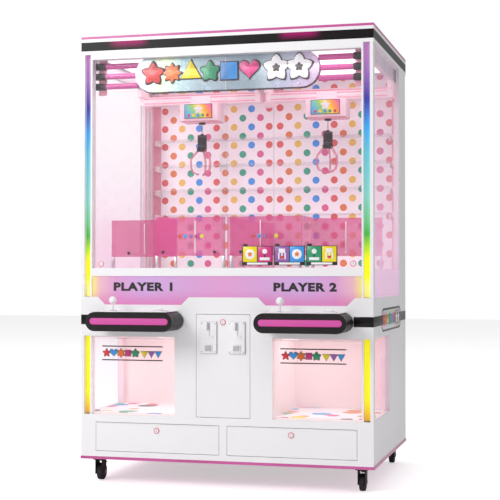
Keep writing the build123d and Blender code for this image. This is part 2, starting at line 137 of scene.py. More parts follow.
def ramp(tree, value, stops, low, high, interpolation="LINEAR"):
    """Colours along a measured value; stops are (place, hex) in the value's own unit."""
    made = add(tree, "ShaderNodeValToRGB")
    made.color_ramp.interpolation = interpolation
    points = made.color_ramp.elements
    scaled = [((at - low) / (high - low), code) for at, code in sorted(stops)]
    points[0].position, points[0].color = scaled[0][0], srgb(scaled[0][1])
    points[1].position, points[1].color = scaled[-1][0], srgb(scaled[-1][1])
    for at, code in scaled[1:-1]:
        points.new(at).color = srgb(code)
    span = add(tree, "ShaderNodeMapRange", None, {"Value": value, "From Min": low, "From Max": high})
    tree.links.new(span.outputs[0], made.inputs[0])
    return made.outputs[0]


# --- mesh tools ----------------------------------------------------------------

def alone(piece=None):
    if bpy.context.object and bpy.context.object.mode != "OBJECT":
        bpy.ops.object.mode_set(mode="OBJECT")
    bpy.ops.object.select_all(action="DESELECT")
    if piece:
        piece.select_set(True)
        bpy.context.view_layer.objects.active = piece


def settle(piece):
    """Puts the piece's place into its mesh."""
    alone(piece)
    bpy.ops.object.transform_apply(location=True, rotation=True, scale=True)


def face_outwards(piece):
    alone(piece)
    bpy.ops.object.mode_set(mode="EDIT")
    bpy.ops.mesh.select_all(action="SELECT")
    bpy.ops.mesh.normals_make_consistent(inside=False)
    bpy.ops.object.mode_set(mode="OBJECT")


def modify(piece, kind, **settings):
    alone(piece)
    made = piece.modifiers.new(kind.title(), kind)
    for key, value in settings.items():
        setattr(made, key, value)
    bpy.ops.object.modifier_apply(modifier=made.name)


def round_edges(piece, width_mm, segments=2):
    modify(piece, "BEVEL", width=width_mm * MM, segments=segments, limit_method="ANGLE")


def done(piece, name, finish, body=BODY, smooth=30):
    """Names a piece, gives it its finish, and lets it ride on its body."""
    piece.name = name
    piece.data.name = name
    piece.data.materials.clear()
    piece.data.materials.append(FINISH[finish] if isinstance(finish, str) else finish)
    alone(piece)
    if smooth:
        bpy.ops.object.shade_smooth_by_angle(angle=math.radians(smooth))
    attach(piece, body)
    return piece


def slab(x0, x1, y0, y1, z0, z1, bevel=1.0, segments=2):
    """A block between two corners in mm, with rounded edges."""
    alone()
    bpy.ops.mesh.primitive_cube_add(size=1, location=((x0 + x1) / 2 * MM, (y0 + y1) / 2 * MM,
                                                      (z0 + z1) / 2 * MM))
    piece = bpy.context.object
    piece.scale = ((x1 - x0) * MM, (y1 - y0) * MM, (z1 - z0) * MM)
    settle(piece)
    if bevel:
        round_edges(piece, bevel, segments)
    return piece


AXES = {"x": (0, math.pi / 2, 0), "y": (math.pi / 2, 0, 0), "z": (0, 0, 0)}


def drum(centre, radius, length, axis="y", bevel=0.5, sides=48, segments=2):
    """A round bar in mm, along one axis."""
    alone()
    bpy.ops.mesh.primitive_cylinder_add(vertices=sides, radius=radius * MM, depth=length * MM,
                                        location=[v * MM for v in centre], rotation=AXES[axis])
    piece = bpy.context.object
    settle(piece)
    if bevel:
        round_edges(piece, bevel, segments)
    return piece


def ring(centre, radius, thickness, axis="y"):
    alone()
    bpy.ops.mesh.primitive_torus_add(major_radius=radius * MM, minor_radius=thickness * MM,
                                     major_segments=40, minor_segments=12,
                                     location=[v * MM for v in centre], rotation=AXES[axis])
    piece = bpy.context.object
    settle(piece)
    return piece


def shape(centre, outline, depth, bevel=0.6, sides=72, segments=2):
    """A flat shape facing the front: outline(angle) gives (across, up) in mm."""
    alone()
    bpy.ops.mesh.primitive_circle_add(vertices=sides, radius=1, fill_type="NGON", rotation=AXES["y"])
    piece = bpy.context.object
    settle(piece)
    for index, vertex in enumerate(piece.data.vertices):
        across, up = outline(2 * math.pi * index / sides)
        vertex.co = Vector(((centre[0] + across) * MM, centre[1] * MM, (centre[2] + up) * MM))
    face_outwards(piece)
    if piece.data.polygons[0].normal.y > 0:
        piece.data.flip_normals()
    modify(piece, "SOLIDIFY", thickness=depth * MM, offset=-1)
    if bevel:
        round_edges(piece, bevel, segments)
    return piece


def slot_shape(width, height):
    """A round-ended bar, seen from the front."""
    half = (width - height) / 2
    radius = height / 2

    def outline(angle):
        across = radius * math.cos(angle)
        return across + (half if across > 0 else -half), radius * math.sin(angle)
    return outline


def star_shape(size, points=5, waist=0.5, turn=math.pi / 2):
    def outline(angle):
        step = (angle * points / math.pi) % 2
        reach = size * (waist + (1 - waist) * abs(step - 1))
        return reach * math.cos(angle + turn), reach * math.sin(angle + turn)
    return outline


def heart_shape(size):
    def outline(angle):
        across = 16 * math.sin(angle) ** 3
        up = 13 * math.cos(angle) - 5 * math.cos(2 * angle) - 2 * math.cos(3 * angle) - math.cos(4 * angle)
        return across * size / 17, (up + 2.5) * size / 17
    return outline


def flower_shape(size, petals=5):
    def outline(angle):
        reach = size * (0.84 + 0.16 * math.cos(petals * angle))
        return reach * math.cos(angle + math.pi / 2), reach * math.sin(angle + math.pi / 2)
    return outline


def polygon_shape(size, corners, turn=math.pi / 2):
    def outline(angle):
        half = math.pi / corners
        local = angle % (2 * half) - half
        reach = size * math.cos(half) / math.cos(local)
        return reach * math.cos(angle + turn), reach * math.sin(angle + turn)
    return outline


def square_shape(size):
    return polygon_shape(size, 4, math.pi / 4)


def triangle_shape(size):
    return polygon_shape(size, 3)


def triangle_down_shape(size):
    return polygon_shape(size, 3, -math.pi / 2)


def petals_shape(petals):
    """A flower outline with this many petals, still to be given its size."""
    return lambda size: flower_shape(size, petals)


def copy_of(piece, name, move, finish):
    """The same piece again with its own mesh, moved by mm."""
    twin = piece.copy()
    twin.data = piece.data.copy()
    twin.parent = None
    bpy.context.collection.objects.link(twin)
    for vertex in twin.data.vertices:
        vertex.co += Vector(move) * MM
    return done(twin, name, finish)


def outward(side, near, far):
    """Two distances from the middle, on one side, as x values from left to right."""
    return sorted([side * near, side * far])


# --- places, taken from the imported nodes, in mm ---------------------------------

def span(node):
    low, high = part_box(node)
    return [v / MM for v in low], [v / MM for v in high]


HIGH = [v / MM for v in cad_box[1]]
PANEL_X, FRONT_Y = abs(span("front_panel")[0][0]), span("front_panel")[0][1]
REAR_Y = span("rear_panel")[1][1]
CONSOLE_TOP = span("console_band")[1][2]
ROOF_Z = span("roof_cap")[0][2]
DECK_Z = span("play_deck")[1][2]
WALL_Y = span("back_wall")[0][1]
SHELF_LEVELS = (1227.0, 1355.0, 1481.0, 1613.0)
CORNERS = ("front_left", "front_right", "rear_left", "rear_right")


# --- finishes ------------------------------------------------------------------

def white_laminate():
    """High-pressure laminate on board: even white with a very fine pebble and a soft sheen."""
    made, tree, shader, place = material("white_laminate", "#F2F1F3", 0.34, Coat_Weight=0.15,
                                         Coat_Roughness=0.25)
    tinted(tree, shader, place, "#F1F0F2", "#F4F3F5", 380)
    uneven(tree, shader, place, "Roughness", 0.32, 0.38, 90)
    grain(tree, shader, place, 1.6, 0.04, 0.14)
    return made


def powder_coat_white():
    """Powder-coated sheet: white with the slight orange peel that baked powder leaves."""
    made, tree, shader, place = material("powder_coat_white", "#F3F2F3", 0.3, Coat_Weight=0.25,
                                         Coat_Roughness=0.18)
    tinted(tree, shader, place, "#F2F1F3", "#F4F3F5", 340)
    uneven(tree, shader, place, "Roughness", 0.28, 0.33, 60)
    grain(tree, shader, place, 2.6, 0.05, 0.14)
    return made


def pink_edge():
    """Pink PVC edge band, extruded: glossy, with faint lines along its length."""
    made, tree, shader, place = material("pink_edge", "#C9559B", 0.3, Coat_Weight=0.4, Coat_Roughness=0.12)
    tinted(tree, shader, place, "#C2508F", "#D05CA4", 220)
    grain(tree, shader, place, 6, 0.05, 0.25, stretch=(0.05, 0.05, 1))
    return made


def gloss_black():
    """Black acrylic sheet, worn to a satin shine, with faint dust haze."""
    made, tree, shader, place = material("black_acrylic", "#141113", 0.22, Specular_IOR_Level=0.25)
    tinted(tree, shader, place, "#131012", "#1A1518", 240)
    uneven(tree, shader, place, "Roughness", 0.16, 0.3, 70)
    return made


def roof_black():
    """The roof's black acrylic light band: pink lamps behind it glow through in soft patches."""
    made, tree, shader, place = material("black_light_band", "#151113", 0.32, Specular_IOR_Level=0.18)
    axes = add(tree, "ShaderNodeSeparateXYZ", None, {0: place})
    turns = add(tree, "ShaderNodeMath", {"operation": "MULTIPLY_ADD"},
                {0: axes.outputs[0], 1: 8.05, 2: -1.168})
    wave = add(tree, "ShaderNodeMath", {"operation": "SINE"}, {0: turns})
    patch = add(tree, "ShaderNodeMapRange", {"interpolation_type": "SMOOTHERSTEP"},
                {"Value": wave, "From Min": 0.62, "From Max": 1.0})
    fade = add(tree, "ShaderNodeMapRange", {"interpolation_type": "SMOOTHSTEP"},
               {"Value": axes.outputs[2], "From Min": 1.935, "From Max": 1.975})
    glow = add(tree, "ShaderNodeMath", {"operation": "MULTIPLY"}, {0: patch, 1: fade})
    tint = add(tree, "ShaderNodeMath", {"operation": "MULTIPLY"}, {0: glow, 1: 0.6})
    power = add(tree, "ShaderNodeMath", {"operation": "MULTIPLY"}, {0: glow, 1: 0.5})
    mix = add(tree, "ShaderNodeMix", {"data_type": "RGBA"}, {"Factor": tint, 6: srgb("#151113"),
                                                             7: srgb("#B0146E")})
    tree.links.new(mix.outputs[2], shader.inputs["Base Color"])
    tree.links.new(mix.outputs[2], shader.inputs["Emission Color"])
    tree.links.new(power.outputs[0], shader.inputs["Emission Strength"])
    return made


def moulded_black():
    """ABS, injection moulded: near-black with a fine spark-eroded texture."""
    made, tree, shader, place = material("moulded_black", "#1A1617", 0.42, Specular_IOR_Level=0.3)
    tinted(tree, shader, place, "#171314", "#1F1B1C", 60)
    uneven(tree, shader, place, "Roughness", 0.36, 0.5, 30)
    grain(tree, shader, place, 1.8, 0.12, 0.5)
    return made


def clear_sheet(name, colour, alpha):
    """Clear polished sheet, float glass or acrylic: a hint of tint, and wiping marks in its shine."""
    made, tree, shader, place = material(name, colour, 0.04, Alpha=alpha, IOR=1.45)
    uneven(tree, shader, place, "Roughness", 0.02, 0.07, 150)
    return made


def side_pane_acrylic():
    """The side panes' tinted acrylic: deepest at the foot of the play area, nearly solid at the console skirt
    where it is backed, and faint beside the prize boxes."""
    foot, head = 0.83, 1.6
    # The even glow is painted light: the panes shine by themselves to brighten them on the shaded side, though
    # they hold no lamp.
    made, tree, shader, place = material("side_acrylic", "#E9BFE0", 0.04, Alpha=0.14, IOR=1.45,
                                         Emission_Color=srgb("#E9BFE0"), Emission_Strength=0.3)
    uneven(tree, shader, place, "Roughness", 0.02, 0.07, 150)
    high = add(tree, "ShaderNodeSeparateXYZ", None, {0: place}).outputs[2]
    fade = add(tree, "ShaderNodeMapRange", {"interpolation_type": "SMOOTHSTEP"},
               {"Value": high, "From Min": foot, "From Max": head, "To Min": 0.42, "To Max": 0.14})
    above = add(tree, "ShaderNodeMath", {"operation": "GREATER_THAN"}, {0: high, 1: CONSOLE_TOP * MM})
    glazed = add(tree, "ShaderNodeMath", {"operation": "MULTIPLY"}, {0: fade, 1: above})
    backed = add(tree, "ShaderNodeMath", {"operation": "COMPARE"}, {0: high, 1: 0.89, 2: 0.065})
    skirt = add(tree, "ShaderNodeMath", {"operation": "MULTIPLY"}, {0: backed, 1: 0.88})
    deeper = add(tree, "ShaderNodeMath", {"operation": "MAXIMUM"}, {0: glazed, 1: skirt})
    solid = add(tree, "ShaderNodeMath", {"operation": "MAXIMUM"}, {0: deeper, 1: 0.1})
    tree.links.new(solid.outputs[0], shader.inputs["Alpha"])
    rise = add(tree, "ShaderNodeMath", {"operation": "SUBTRACT"}, {0: high, 1: foot})
    share = add(tree, "ShaderNodeMath", {"operation": "DIVIDE"}, {0: rise, 1: head - foot})
    mix = add(tree, "ShaderNodeMix", {"data_type": "RGBA"}, {"Factor": share, 6: srgb("#E9BFE0"),
                                                             7: srgb("#F4E6EF")})
    tree.links.new(mix.outputs[2], shader.inputs["Base Color"])
    return made


def pink_acrylic(name="pink_acrylic", colour="#D8468F", deep="#CC3884", alpha=0.52, glow=0.2):
    """Cast tinted acrylic: see-through magenta, brighter where the lamps shine into it."""
    made, tree, shader, place = material(name, colour, 0.08, Alpha=alpha, Coat_Weight=0.3,
                                         Coat_Roughness=0.05,
                                         Emission_Color=srgb(colour), Emission_Strength=glow)
    tinted(tree, shader, place, colour, deep, 260)
    uneven(tree, shader, place, "Roughness", 0.05, 0.12, 90)
    return made


def fascia_acrylic():
    """Opal acrylic with coloured light behind: lilac in the middle, pinker at its ends and lower edge."""
    made, tree, shader, place = material("fascia_opal", "#D8A0C8", 0.2, Coat_Weight=0.2, Coat_Roughness=0.1,
                                         Emission_Strength=0.14)
    axes = add(tree, "ShaderNodeSeparateXYZ", None, {0: place})
    across = add(tree, "ShaderNodeMath", {"operation": "ABSOLUTE"}, {0: axes.outputs[0]})
    along = ramp(tree, across.outputs[0], [(0.0, "#D79AC9"), (0.2, "#CF9FD0"), (0.36, "#C9A4D6"),
                                           (0.5, "#D49CCB"),
                                           (0.575, "#E6B4C0"), (0.61, "#F3E27A")], 0.0, 0.62)
    low_edge = add(tree, "ShaderNodeMapRange", {"interpolation_type": "SMOOTHSTEP"},
                   {"Value": axes.outputs[2], "From Min": 0.79, "From Max": 0.87, "To Min": 0.75,
                    "To Max": 0.0})
    mix = add(tree, "ShaderNodeMix", {"data_type": "RGBA"}, {"Factor": low_edge, 6: along,
                                                             7: srgb("#D676AF")})
    tree.links.new(mix.outputs[2], shader.inputs["Base Color"])
    tree.links.new(mix.outputs[2], shader.inputs["Emission Color"])
    uneven(tree, shader, place, "Roughness", 0.12, 0.22, 80)
    return made


DOT_PITCH = 93.0
DOT_RADIUS = 18.0
DOT_TOP = 1776.0
DOT_LEFT = -582.0
DOT_RIGHT = 33.0


def dotted_board():
    """Printed board: pale pink with rows of coloured dots, screen printed, slightly raised ink."""
    # Its glow is painted light: the printed board shines by itself, as if lit by the cabin lamps, though it holds
    # no lamp.
    made, tree, shader, place = material("dotted_board", "#F3DFEB", 0.38, Emission_Strength=0.12)
    axes = add(tree, "ShaderNodeSeparateXYZ", None, {0: place})
    across, high = axes.outputs[0], axes.outputs[2]
    # The board is two sheets, and each starts its own columns at its left edge.
    side = add(tree, "ShaderNodeMath", {"operation": "LESS_THAN"}, {0: across, 1: 0.004})
    step = add(tree, "ShaderNodeMath", {"operation": "MULTIPLY"}, {0: side, 1: (DOT_LEFT - DOT_RIGHT) * MM})
    start = add(tree, "ShaderNodeMath", {"operation": "ADD"}, {0: step, 1: DOT_RIGHT * MM})
    from_left = add(tree, "ShaderNodeMath", {"operation": "SUBTRACT"}, {0: across, 1: start})
    column = add(tree, "ShaderNodeMath", {"operation": "DIVIDE"}, {0: from_left, 1: DOT_PITCH * MM})
    from_top = add(tree, "ShaderNodeMath", {"operation": "SUBTRACT"}, {0: high, 1: DOT_TOP * MM})
    row = add(tree, "ShaderNodeMath", {"operation": "DIVIDE"}, {0: from_top, 1: DOT_PITCH * MM})
    ground = add(tree, "ShaderNodeTexNoise", None, {"Vector": place, "Scale": 1000 / 625, "Detail": 2.0})
    colour = add(tree, "ShaderNodeMix", {"data_type": "RGBA"},
                 {"Factor": ground, 6: srgb("#FCF8FB"), 7: srgb("#F8EDF5")}).outputs[2]
    # Every second row sits half a pitch along and has its own three inks.
    inks = [(0.0, ("#DE5F5C", "#EBC35A", "#3B94E8")), (0.5, ("#DF7A45", "#35A587", "#DB5F93"))]
    for shift, row_inks in inks:
        u = add(tree, "ShaderNodeMath", {"operation": "SUBTRACT"}, {0: column, 1: shift})
        v = add(tree, "ShaderNodeMath", {"operation": "SUBTRACT"}, {0: row, 1: shift})
        u_half = add(tree, "ShaderNodeMath", {"operation": "ADD"}, {0: u, 1: 0.5})
        v_half = add(tree, "ShaderNodeMath", {"operation": "ADD"}, {0: v, 1: 0.5})
        nearest = add(tree, "ShaderNodeMath", {"operation": "FLOOR"}, {0: u_half})
        nearest_row = add(tree, "ShaderNodeMath", {"operation": "FLOOR"}, {0: v_half})
        du = add(tree, "ShaderNodeMath", {"operation": "SUBTRACT"}, {0: u, 1: nearest})
        dv = add(tree, "ShaderNodeMath", {"operation": "SUBTRACT"}, {0: v, 1: nearest_row})
        du_squared = add(tree, "ShaderNodeMath", {"operation": "MULTIPLY"}, {0: du, 1: du})
        dv_squared = add(tree, "ShaderNodeMath", {"operation": "MULTIPLY"}, {0: dv, 1: dv})
        total = add(tree, "ShaderNodeMath", {"operation": "ADD"}, {0: du_squared, 1: dv_squared})
        reach = add(tree, "ShaderNodeMath", {"operation": "SQRT"}, {0: total})
        inside = add(tree, "ShaderNodeMath", {"operation": "LESS_THAN"},
                     {0: reach, 1: DOT_RADIUS / DOT_PITCH})
        third = add(tree, "ShaderNodeMath", {"operation": "FLOORED_MODULO"}, {0: nearest, 1: 3.0})
        second_ink = add(tree, "ShaderNodeMath", {"operation": "GREATER_THAN"}, {0: third, 1: 0.5})
        third_ink = add(tree, "ShaderNodeMath", {"operation": "GREATER_THAN"}, {0: third, 1: 1.5})
        first = add(tree, "ShaderNodeMix", {"data_type": "RGBA"},
                    {"Factor": second_ink, 6: srgb(row_inks[0]), 7: srgb(row_inks[1])})
        ink = add(tree, "ShaderNodeMix", {"data_type": "RGBA"},
                  {"Factor": third_ink, 6: first.outputs[2], 7: srgb(row_inks[2])})
        colour = add(tree, "ShaderNodeMix", {"data_type": "RGBA"},
                     {"Factor": inside, 6: colour, 7: ink.outputs[2]}).outputs[2]
    tree.links.new(colour, shader.inputs["Base Color"])
    tree.links.new(colour, shader.inputs["Emission Color"])
    uneven(tree, shader, place, "Roughness", 0.32, 0.45, 70)
    grain(tree, shader, place, 2.2, 0.05, 0.2)
    return made


def pink_liner():
    """Vacuum-formed pink styrene, lit from inside: paler towards the lamp, faint forming ripples."""
    made, tree, shader, place = material("pink_liner", "#F7DCE1", 0.4, Emission_Strength=0.12)
    tone = tinted(tree, shader, place, "#F5DDDD", "#FAEBEA", 420, 0.3, 0.7)
    tree.links.new(tone, shader.inputs["Emission Color"])
    uneven(tree, shader, place, "Roughness", 0.34, 0.48, 60)
    grain(tree, shader, place, 3.0, 0.08, 0.25)
    return made


RAINBOW = [(1920, "#B77AB5"), (1807, "#A070B4"), (1717, "#6A50A5"), (1681, "#3F3BA0"), (1626, "#4B6FC0"),
           (1559, "#3FA5E2"), (1468, "#65BBD0"), (1265, "#86C9BE"), (1153, "#6CBF80"), (1103, "#45B049"),
           (1040, "#B5DC20"), (986, "#F7F000"), (923, "#F7F000"), (870, "#F5E98A"), (656, "#F3E90F"),
           (400, "#F1E80F"), (311, "#E5A82A")]


def light_diffuser():
    """Opal PMMA over a strip of colour lamps: the colours run into each other from end to end."""
    made, tree, shader, place = material("lamp_diffuser", "#FFFFFF", 0.35, Emission_Strength=0.45)
    high = add(tree, "ShaderNodeSeparateXYZ", None, {0: place}).outputs[2]
    colours = ramp(tree, high, [(at * MM, code) for at, code in RAINBOW], 0.3, 1.93)
    tree.links.new(colours, shader.inputs["Base Color"])
    tree.links.new(colours, shader.inputs["Emission Color"])
    uneven(tree, shader, place, "Roughness", 0.3, 0.42, 40)
    return made


def pearl_sign():
    """Pearl laminate on board: soft blue, green and lilac that drift over a silvery ground."""
    made, tree, shader, place = material("pearl_laminate", "#B9C7D3", 0.24, Metallic=0.25, Coat_Weight=0.5,
                                         Coat_Roughness=0.12)
    bend = add(tree, "ShaderNodeTexNoise", None, {"Vector": place, "Scale": 3.2, "Detail": 1.5})
    across = add(tree, "ShaderNodeSeparateXYZ", None, {0: place}).outputs[0]
    about = add(tree, "ShaderNodeMath", {"operation": "SUBTRACT"}, {0: bend, 1: 0.5})
    sway = add(tree, "ShaderNodeMath", {"operation": "MULTIPLY"}, {0: about, 1: 0.22})
    drift = add(tree, "ShaderNodeMath", {"operation": "ADD"}, {0: across, 1: sway})
    tone = ramp(tree, drift.outputs[0], [(-0.42, "#DCC6E8"), (-0.37, "#BFD0E4"), (-0.3, "#D5E6B8"),
                                         (-0.22, "#A9C9CC"),
                              (-0.12, "#9FB4BE"), (-0.02, "#A6B8C6"), (0.1, "#93A7B2"), (0.2, "#B6C6D0"),
                              (0.3, "#C9CBE6"), (0.4, "#E3C9EA")], -0.43, 0.43)
    tree.links.new(tone, shader.inputs["Base Color"])
    uneven(tree, shader, place, "Roughness", 0.18, 0.32, 50)
    grain(tree, shader, place, 1.4, 0.04, 0.2)
    return made


def brushed_rail():
    """Aluminium, extruded and anodised: pale grey with fine lines along its length."""
    made, tree, shader, place = material("anodised_aluminium", "#D9D6DA", 0.35, Metallic=0.9)
    tinted(tree, shader, place, "#CFCBD0", "#E4E1E5", 120)
    grain(tree, shader, place, 2.5, 0.05, 0.3, stretch=(1, 0.04, 1))
    return made


def moulded(name, light, dark, roughness=0.32, glow=0.0):
    """ABS, injection moulded in one colour, with a satin skin and faint flow marks."""
    # A glow, where given, is painted light: the plastic shines by itself though it is no lamp.
    made, tree, shader, place = material(name, light, roughness, Coat_Weight=0.2, Coat_Roughness=0.15,
                                         Emission_Color=srgb(light), Emission_Strength=glow)
    tinted(tree, shader, place, light, dark, 70)
    uneven(tree, shader, place, "Roughness", roughness - 0.06, roughness + 0.08, 40)
    grain(tree, shader, place, 2.0, 0.05, 0.25)
    return made


def bright_metal():
    """Plated steel, polished: bright with fine hairlines from wiping."""
    made, tree, shader, place = material("chrome_plate", "#D8D8DC", 0.16, Metallic=1.0)
    tinted(tree, shader, place, "#D8D8DC", "#B9BAC0", 30)
    uneven(tree, shader, place, "Roughness", 0.1, 0.26, 12)
    grain(tree, shader, place, 1.0, 0.02, 0.2, stretch=(0.2, 1, 3))
    return made


def tread_rubber():
    """Moulded rubber tread: matte black, dusty in its grain."""
    made, tree, shader, place = material("tread_rubber", "#1B1A1B", 0.75)
    tinted(tree, shader, place, "#171617", "#2B292B", 14)
    grain(tree, shader, place, 1.5, 0.2, 0.6)
    return made


def lamp(name, colour, strength):
    """A lit opal cover, slightly uneven where its lamps sit."""
    made, tree, shader, place = material(name, colour, 0.4, Emission_Color=srgb(colour),
                                         Emission_Strength=strength)
    uneven(tree, shader, place, "Emission Strength", strength * 0.9, strength * 1.1, 60)
    return made


def braided_cable():
    """Nylon-sheathed steel rope: dark, with the twist of its strands."""
    made, tree, shader, place = material("braided_cable", "#2A2629", 0.5)
    # Drawn coarser than the real lay of the strands, which is too fine to show.
    twist = add(tree, "ShaderNodeTexWave", {"bands_direction": "DIAGONAL"}, {"Vector": place, "Scale": 900.0})
    bump = add(tree, "ShaderNodeBump", None, {"Height": twist.outputs["Fac"], "Strength": 0.4,
                                              "Distance": 0.0004})
    tree.links.new(bump.outputs[0], shader.inputs["Normal"])
    tinted(tree, shader, place, "#242023", "#353034", 500)
    return made


FINISH = {
    "cable": braided_cable(),
    "white": white_laminate(),
    "coat": powder_coat_white(),
    "pink_edge": pink_edge(),
    "black": gloss_black(),
    "roof_black": roof_black(),
    "moulded_black": moulded_black(),
    "front_glass": clear_sheet("float_glass", "#F6E8F1", 0.035),
    "side_acrylic": side_pane_acrylic(),
    "clear_acrylic": clear_sheet("clear_acrylic", "#FBEFF5", 0.16),
    "flap_acrylic": clear_sheet("flap_acrylic", "#FBEFF5", 0.12),
    "pink_acrylic": pink_acrylic(),
    "tube_acrylic": pink_acrylic("tube_acrylic", "#C24892", "#B73D87", 0.97, 0.08),
    "fascia": fascia_acrylic(),
    "dots": dotted_board(),
    "liner": pink_liner(),
    "diffuser": light_diffuser(),
    "pearl": pearl_sign(),
    "rail": brushed_rail(),
    "white_plastic": moulded("white_abs", "#F4F2F4", "#ECEAED"),
    "grey_plastic": moulded("grey_abs", "#55545A", "#4A494E", 0.45),
    # The pale and mid pink plastics glow a little: painted light on parts that are no lamps.
    "pale_pink": moulded("pale_pink_abs", "#F7DDE4", "#F2CFDA", 0.36, 0.1),
    "mid_pink": moulded("mid_pink_abs", "#EBA6B8", "#E295AB", 0.36, 0.1),
    "claw_pink": clear_sheet("claw_polycarbonate", "#EE8FA8", 0.5),
    # Light grey ABS for small trim parts, also used as painted shadow behind the coin plates and under the push
    # buttons.
    "grey_trim_and_shadow": moulded("grey_trim_and_shadow_abs", "#BDBCC1", "#B2B1B7", 0.5),
    "chrome": bright_metal(),
    "coin_steel": moulded("satin_enamel_white", "#F7F6F8", "#EFEDF0", 0.3),
    "rubber": tread_rubber(),
    "lock_red": moulded("lock_ring_red", "#E8808A", "#DE6F7B", 0.3),
    "lamp_white": lamp("ceiling_lamp", "#FFF6FB", 1.1),
    "lamp_pink": lamp("console_lamp", "#C24A96", 0.22),
    "lamp_pink_edge": lamp("console_lamp_edge", "#D4148A", 0.35),
    "red": moulded("sign_red", "#DA3B3A", "#D03331"),
    "orange": moulded("sign_orange", "#EC7A2C", "#E57022"),
    "yellow": moulded("sign_yellow", "#F3DE12", "#EAD30C"),
    "green": moulded("sign_green", "#2E9E6E", "#269465"),
    "blue": moulded("sign_blue", "#3A9CE9", "#3092E0"),
    "rose": moulded("sign_rose", "#D63C86", "#CC327C"),
    "violet": moulded("sign_violet", "#9A62AE", "#9058A5"),
    "outline": moulded("sign_outline", "#3A3236", "#2F282C", 0.4),
    "ink": moulded("black_vinyl", "#1E1A1C", "#262124", 0.42),
}

NODE_FINISH = {
    "base_tray": "pink_edge", "front_panel": "coat", "side_panels": "white", "console_band": "coat",
    "fascia": "fascia", "front_frame": "coat", "side_panes": "side_acrylic", "back_wall": "dots",
    "rear_panel": "white", "roof_cap": "white", "roof_band": "roof_black", "play_deck": "white",
    "play_fences": "pink_acrylic", "prize_boxes": "liner", "control_housings": "moulded_black",
    "light_strips": "diffuser", "marquee_sign": "pearl", "light_tubes": "tube_acrylic",
    "prize_shelves": "clear_acrylic", "gantry_rails": "rail", "control_unit": "grey_plastic",
    "power_inlet": "moulded_black", "coin_door": "coat", "coin_plates": "coin_steel",
    "window_left": "front_glass", "window_right": "front_glass",
}
SIDE_NODE_FINISH = {
    "reject_lever": "coin_steel", "service_door": "coat", "prize_flap": "flap_acrylic",
    "joystick_gimbal": "chrome", "joystick": "white_plastic", "push_button": "white_plastic",
    "bridge": "pale_pink", "carriage": "pale_pink", "hoist_cable": "moulded_black",
    "claw_head": "moulded_black", "claw_arm_1": "claw_pink", "claw_arm_2": "claw_pink", "claw_arm_3": "claw_pink",
}


def finish_nodes():
    finishes = dict(NODE_FINISH)
    for side in SIDES:
        for node, finish in SIDE_NODE_FINISH.items():
            finishes[f"{node}_{side}"] = finish
    for corner in CORNERS:
        finishes[f"caster_fork_{corner}"] = "moulded_black"
        finishes[f"caster_wheel_{corner}"] = "rubber"
    for node, finish in finishes.items():
        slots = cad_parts[node].material_slots
        for place in slots:
            place.material = FINISH[finish]


finish_nodes()


# --- roof ------------------------------------------------------------------------

def roof_finish():
    """White laminate whose top edge carries a pink PVC band, 11 mm high and 12 mm deep."""
    made, tree, shader, place = material("white_laminate_pink_edge", "#F2F1F3", 0.34, Coat_Weight=0.2,
                                         Coat_Roughness=0.2)
    middle = (FRONT_Y + REAR_Y + 3) / 2 * MM
    half_depth = (REAR_Y + 3 - FRONT_Y) / 2 * MM
    axes = add(tree, "ShaderNodeSeparateXYZ", None, {0: place})
    high = add(tree, "ShaderNodeMath", {"operation": "GREATER_THAN"},
               {0: axes.outputs[2], 1: ROOF_TRIM_Z * MM})
    from_middle = add(tree, "ShaderNodeMath", {"operation": "ABSOLUTE"}, {0: axes.outputs[0]})
    across = add(tree, "ShaderNodeMath", {"operation": "GREATER_THAN"},
                 {0: from_middle, 1: (HIGH[0] - 12) * MM})
    back = add(tree, "ShaderNodeMath", {"operation": "SUBTRACT"}, {0: axes.outputs[1], 1: middle})
    depth = add(tree, "ShaderNodeMath", {"operation": "ABSOLUTE"}, {0: back})
    along = add(tree, "ShaderNodeMath", {"operation": "GREATER_THAN"}, {0: depth, 1: half_depth - 0.012})
    rim = add(tree, "ShaderNodeMath", {"operation": "MAXIMUM"}, {0: across, 1: along})
    band = add(tree, "ShaderNodeMath", {"operation": "MULTIPLY"}, {0: high, 1: rim})
    white = tinted(tree, shader, place, "#F1F0F2", "#F4F3F5", 380)
    mix = add(tree, "ShaderNodeMix", {"data_type": "RGBA"}, {"Factor": band, 6: white, 7: srgb("#C9559B")})
    tree.links.new(mix.outputs[2], shader.inputs["Base Color"])
    uneven(tree, shader, place, "Roughness", 0.28, 0.42, 90)
    grain(tree, shader, place, 1.6, 0.05, 0.25)
    return made


ROOF_TRIM_Z = 1989.0


def roof_pieces():
    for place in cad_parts["roof_cap"].material_slots:
        place.material = roof_finish()
    for name, side in SIDES.items():
        x0, x1 = outward(side, 70, 600)
        done(slab(x0, x1, -250, 380, ROOF_Z - 9, ROOF_Z - 1, 3), f"ceiling_lamp_{name}", "lamp_white")
        done(slab(x0 - 8, x1 + 8, -258, 388, ROOF_Z - 4, ROOF_Z - 0.3, 1),
             f"ceiling_lamp_rim_{name}", "white_plastic")


# --- marquee sign ------------------------------------------------------------------

SIGN_FRONT, SIGN_BACK = span("marquee_sign")[0][1], span("marquee_sign")[1][1]
SIGN_Z = 1827.0


def raised_token(name, x, outline_of, size, finish, z=SIGN_Z, y=SIGN_FRONT, sides=80):
    """A raised shape with a dark backing that stands out all round it."""
    done(shape((x, y - 4, z), outline_of(size + 4), 4, 1.0, sides), f"{name}_backing", "outline")
    done(shape((x, y - 11, z), outline_of(size - 4), 7, 2.2, sides, 3), name, finish)
    done(shape((x, y - 12.2, z), outline_of(size * 0.62), 1.2, 0.4, sides), f"{name}_inlay", finish)


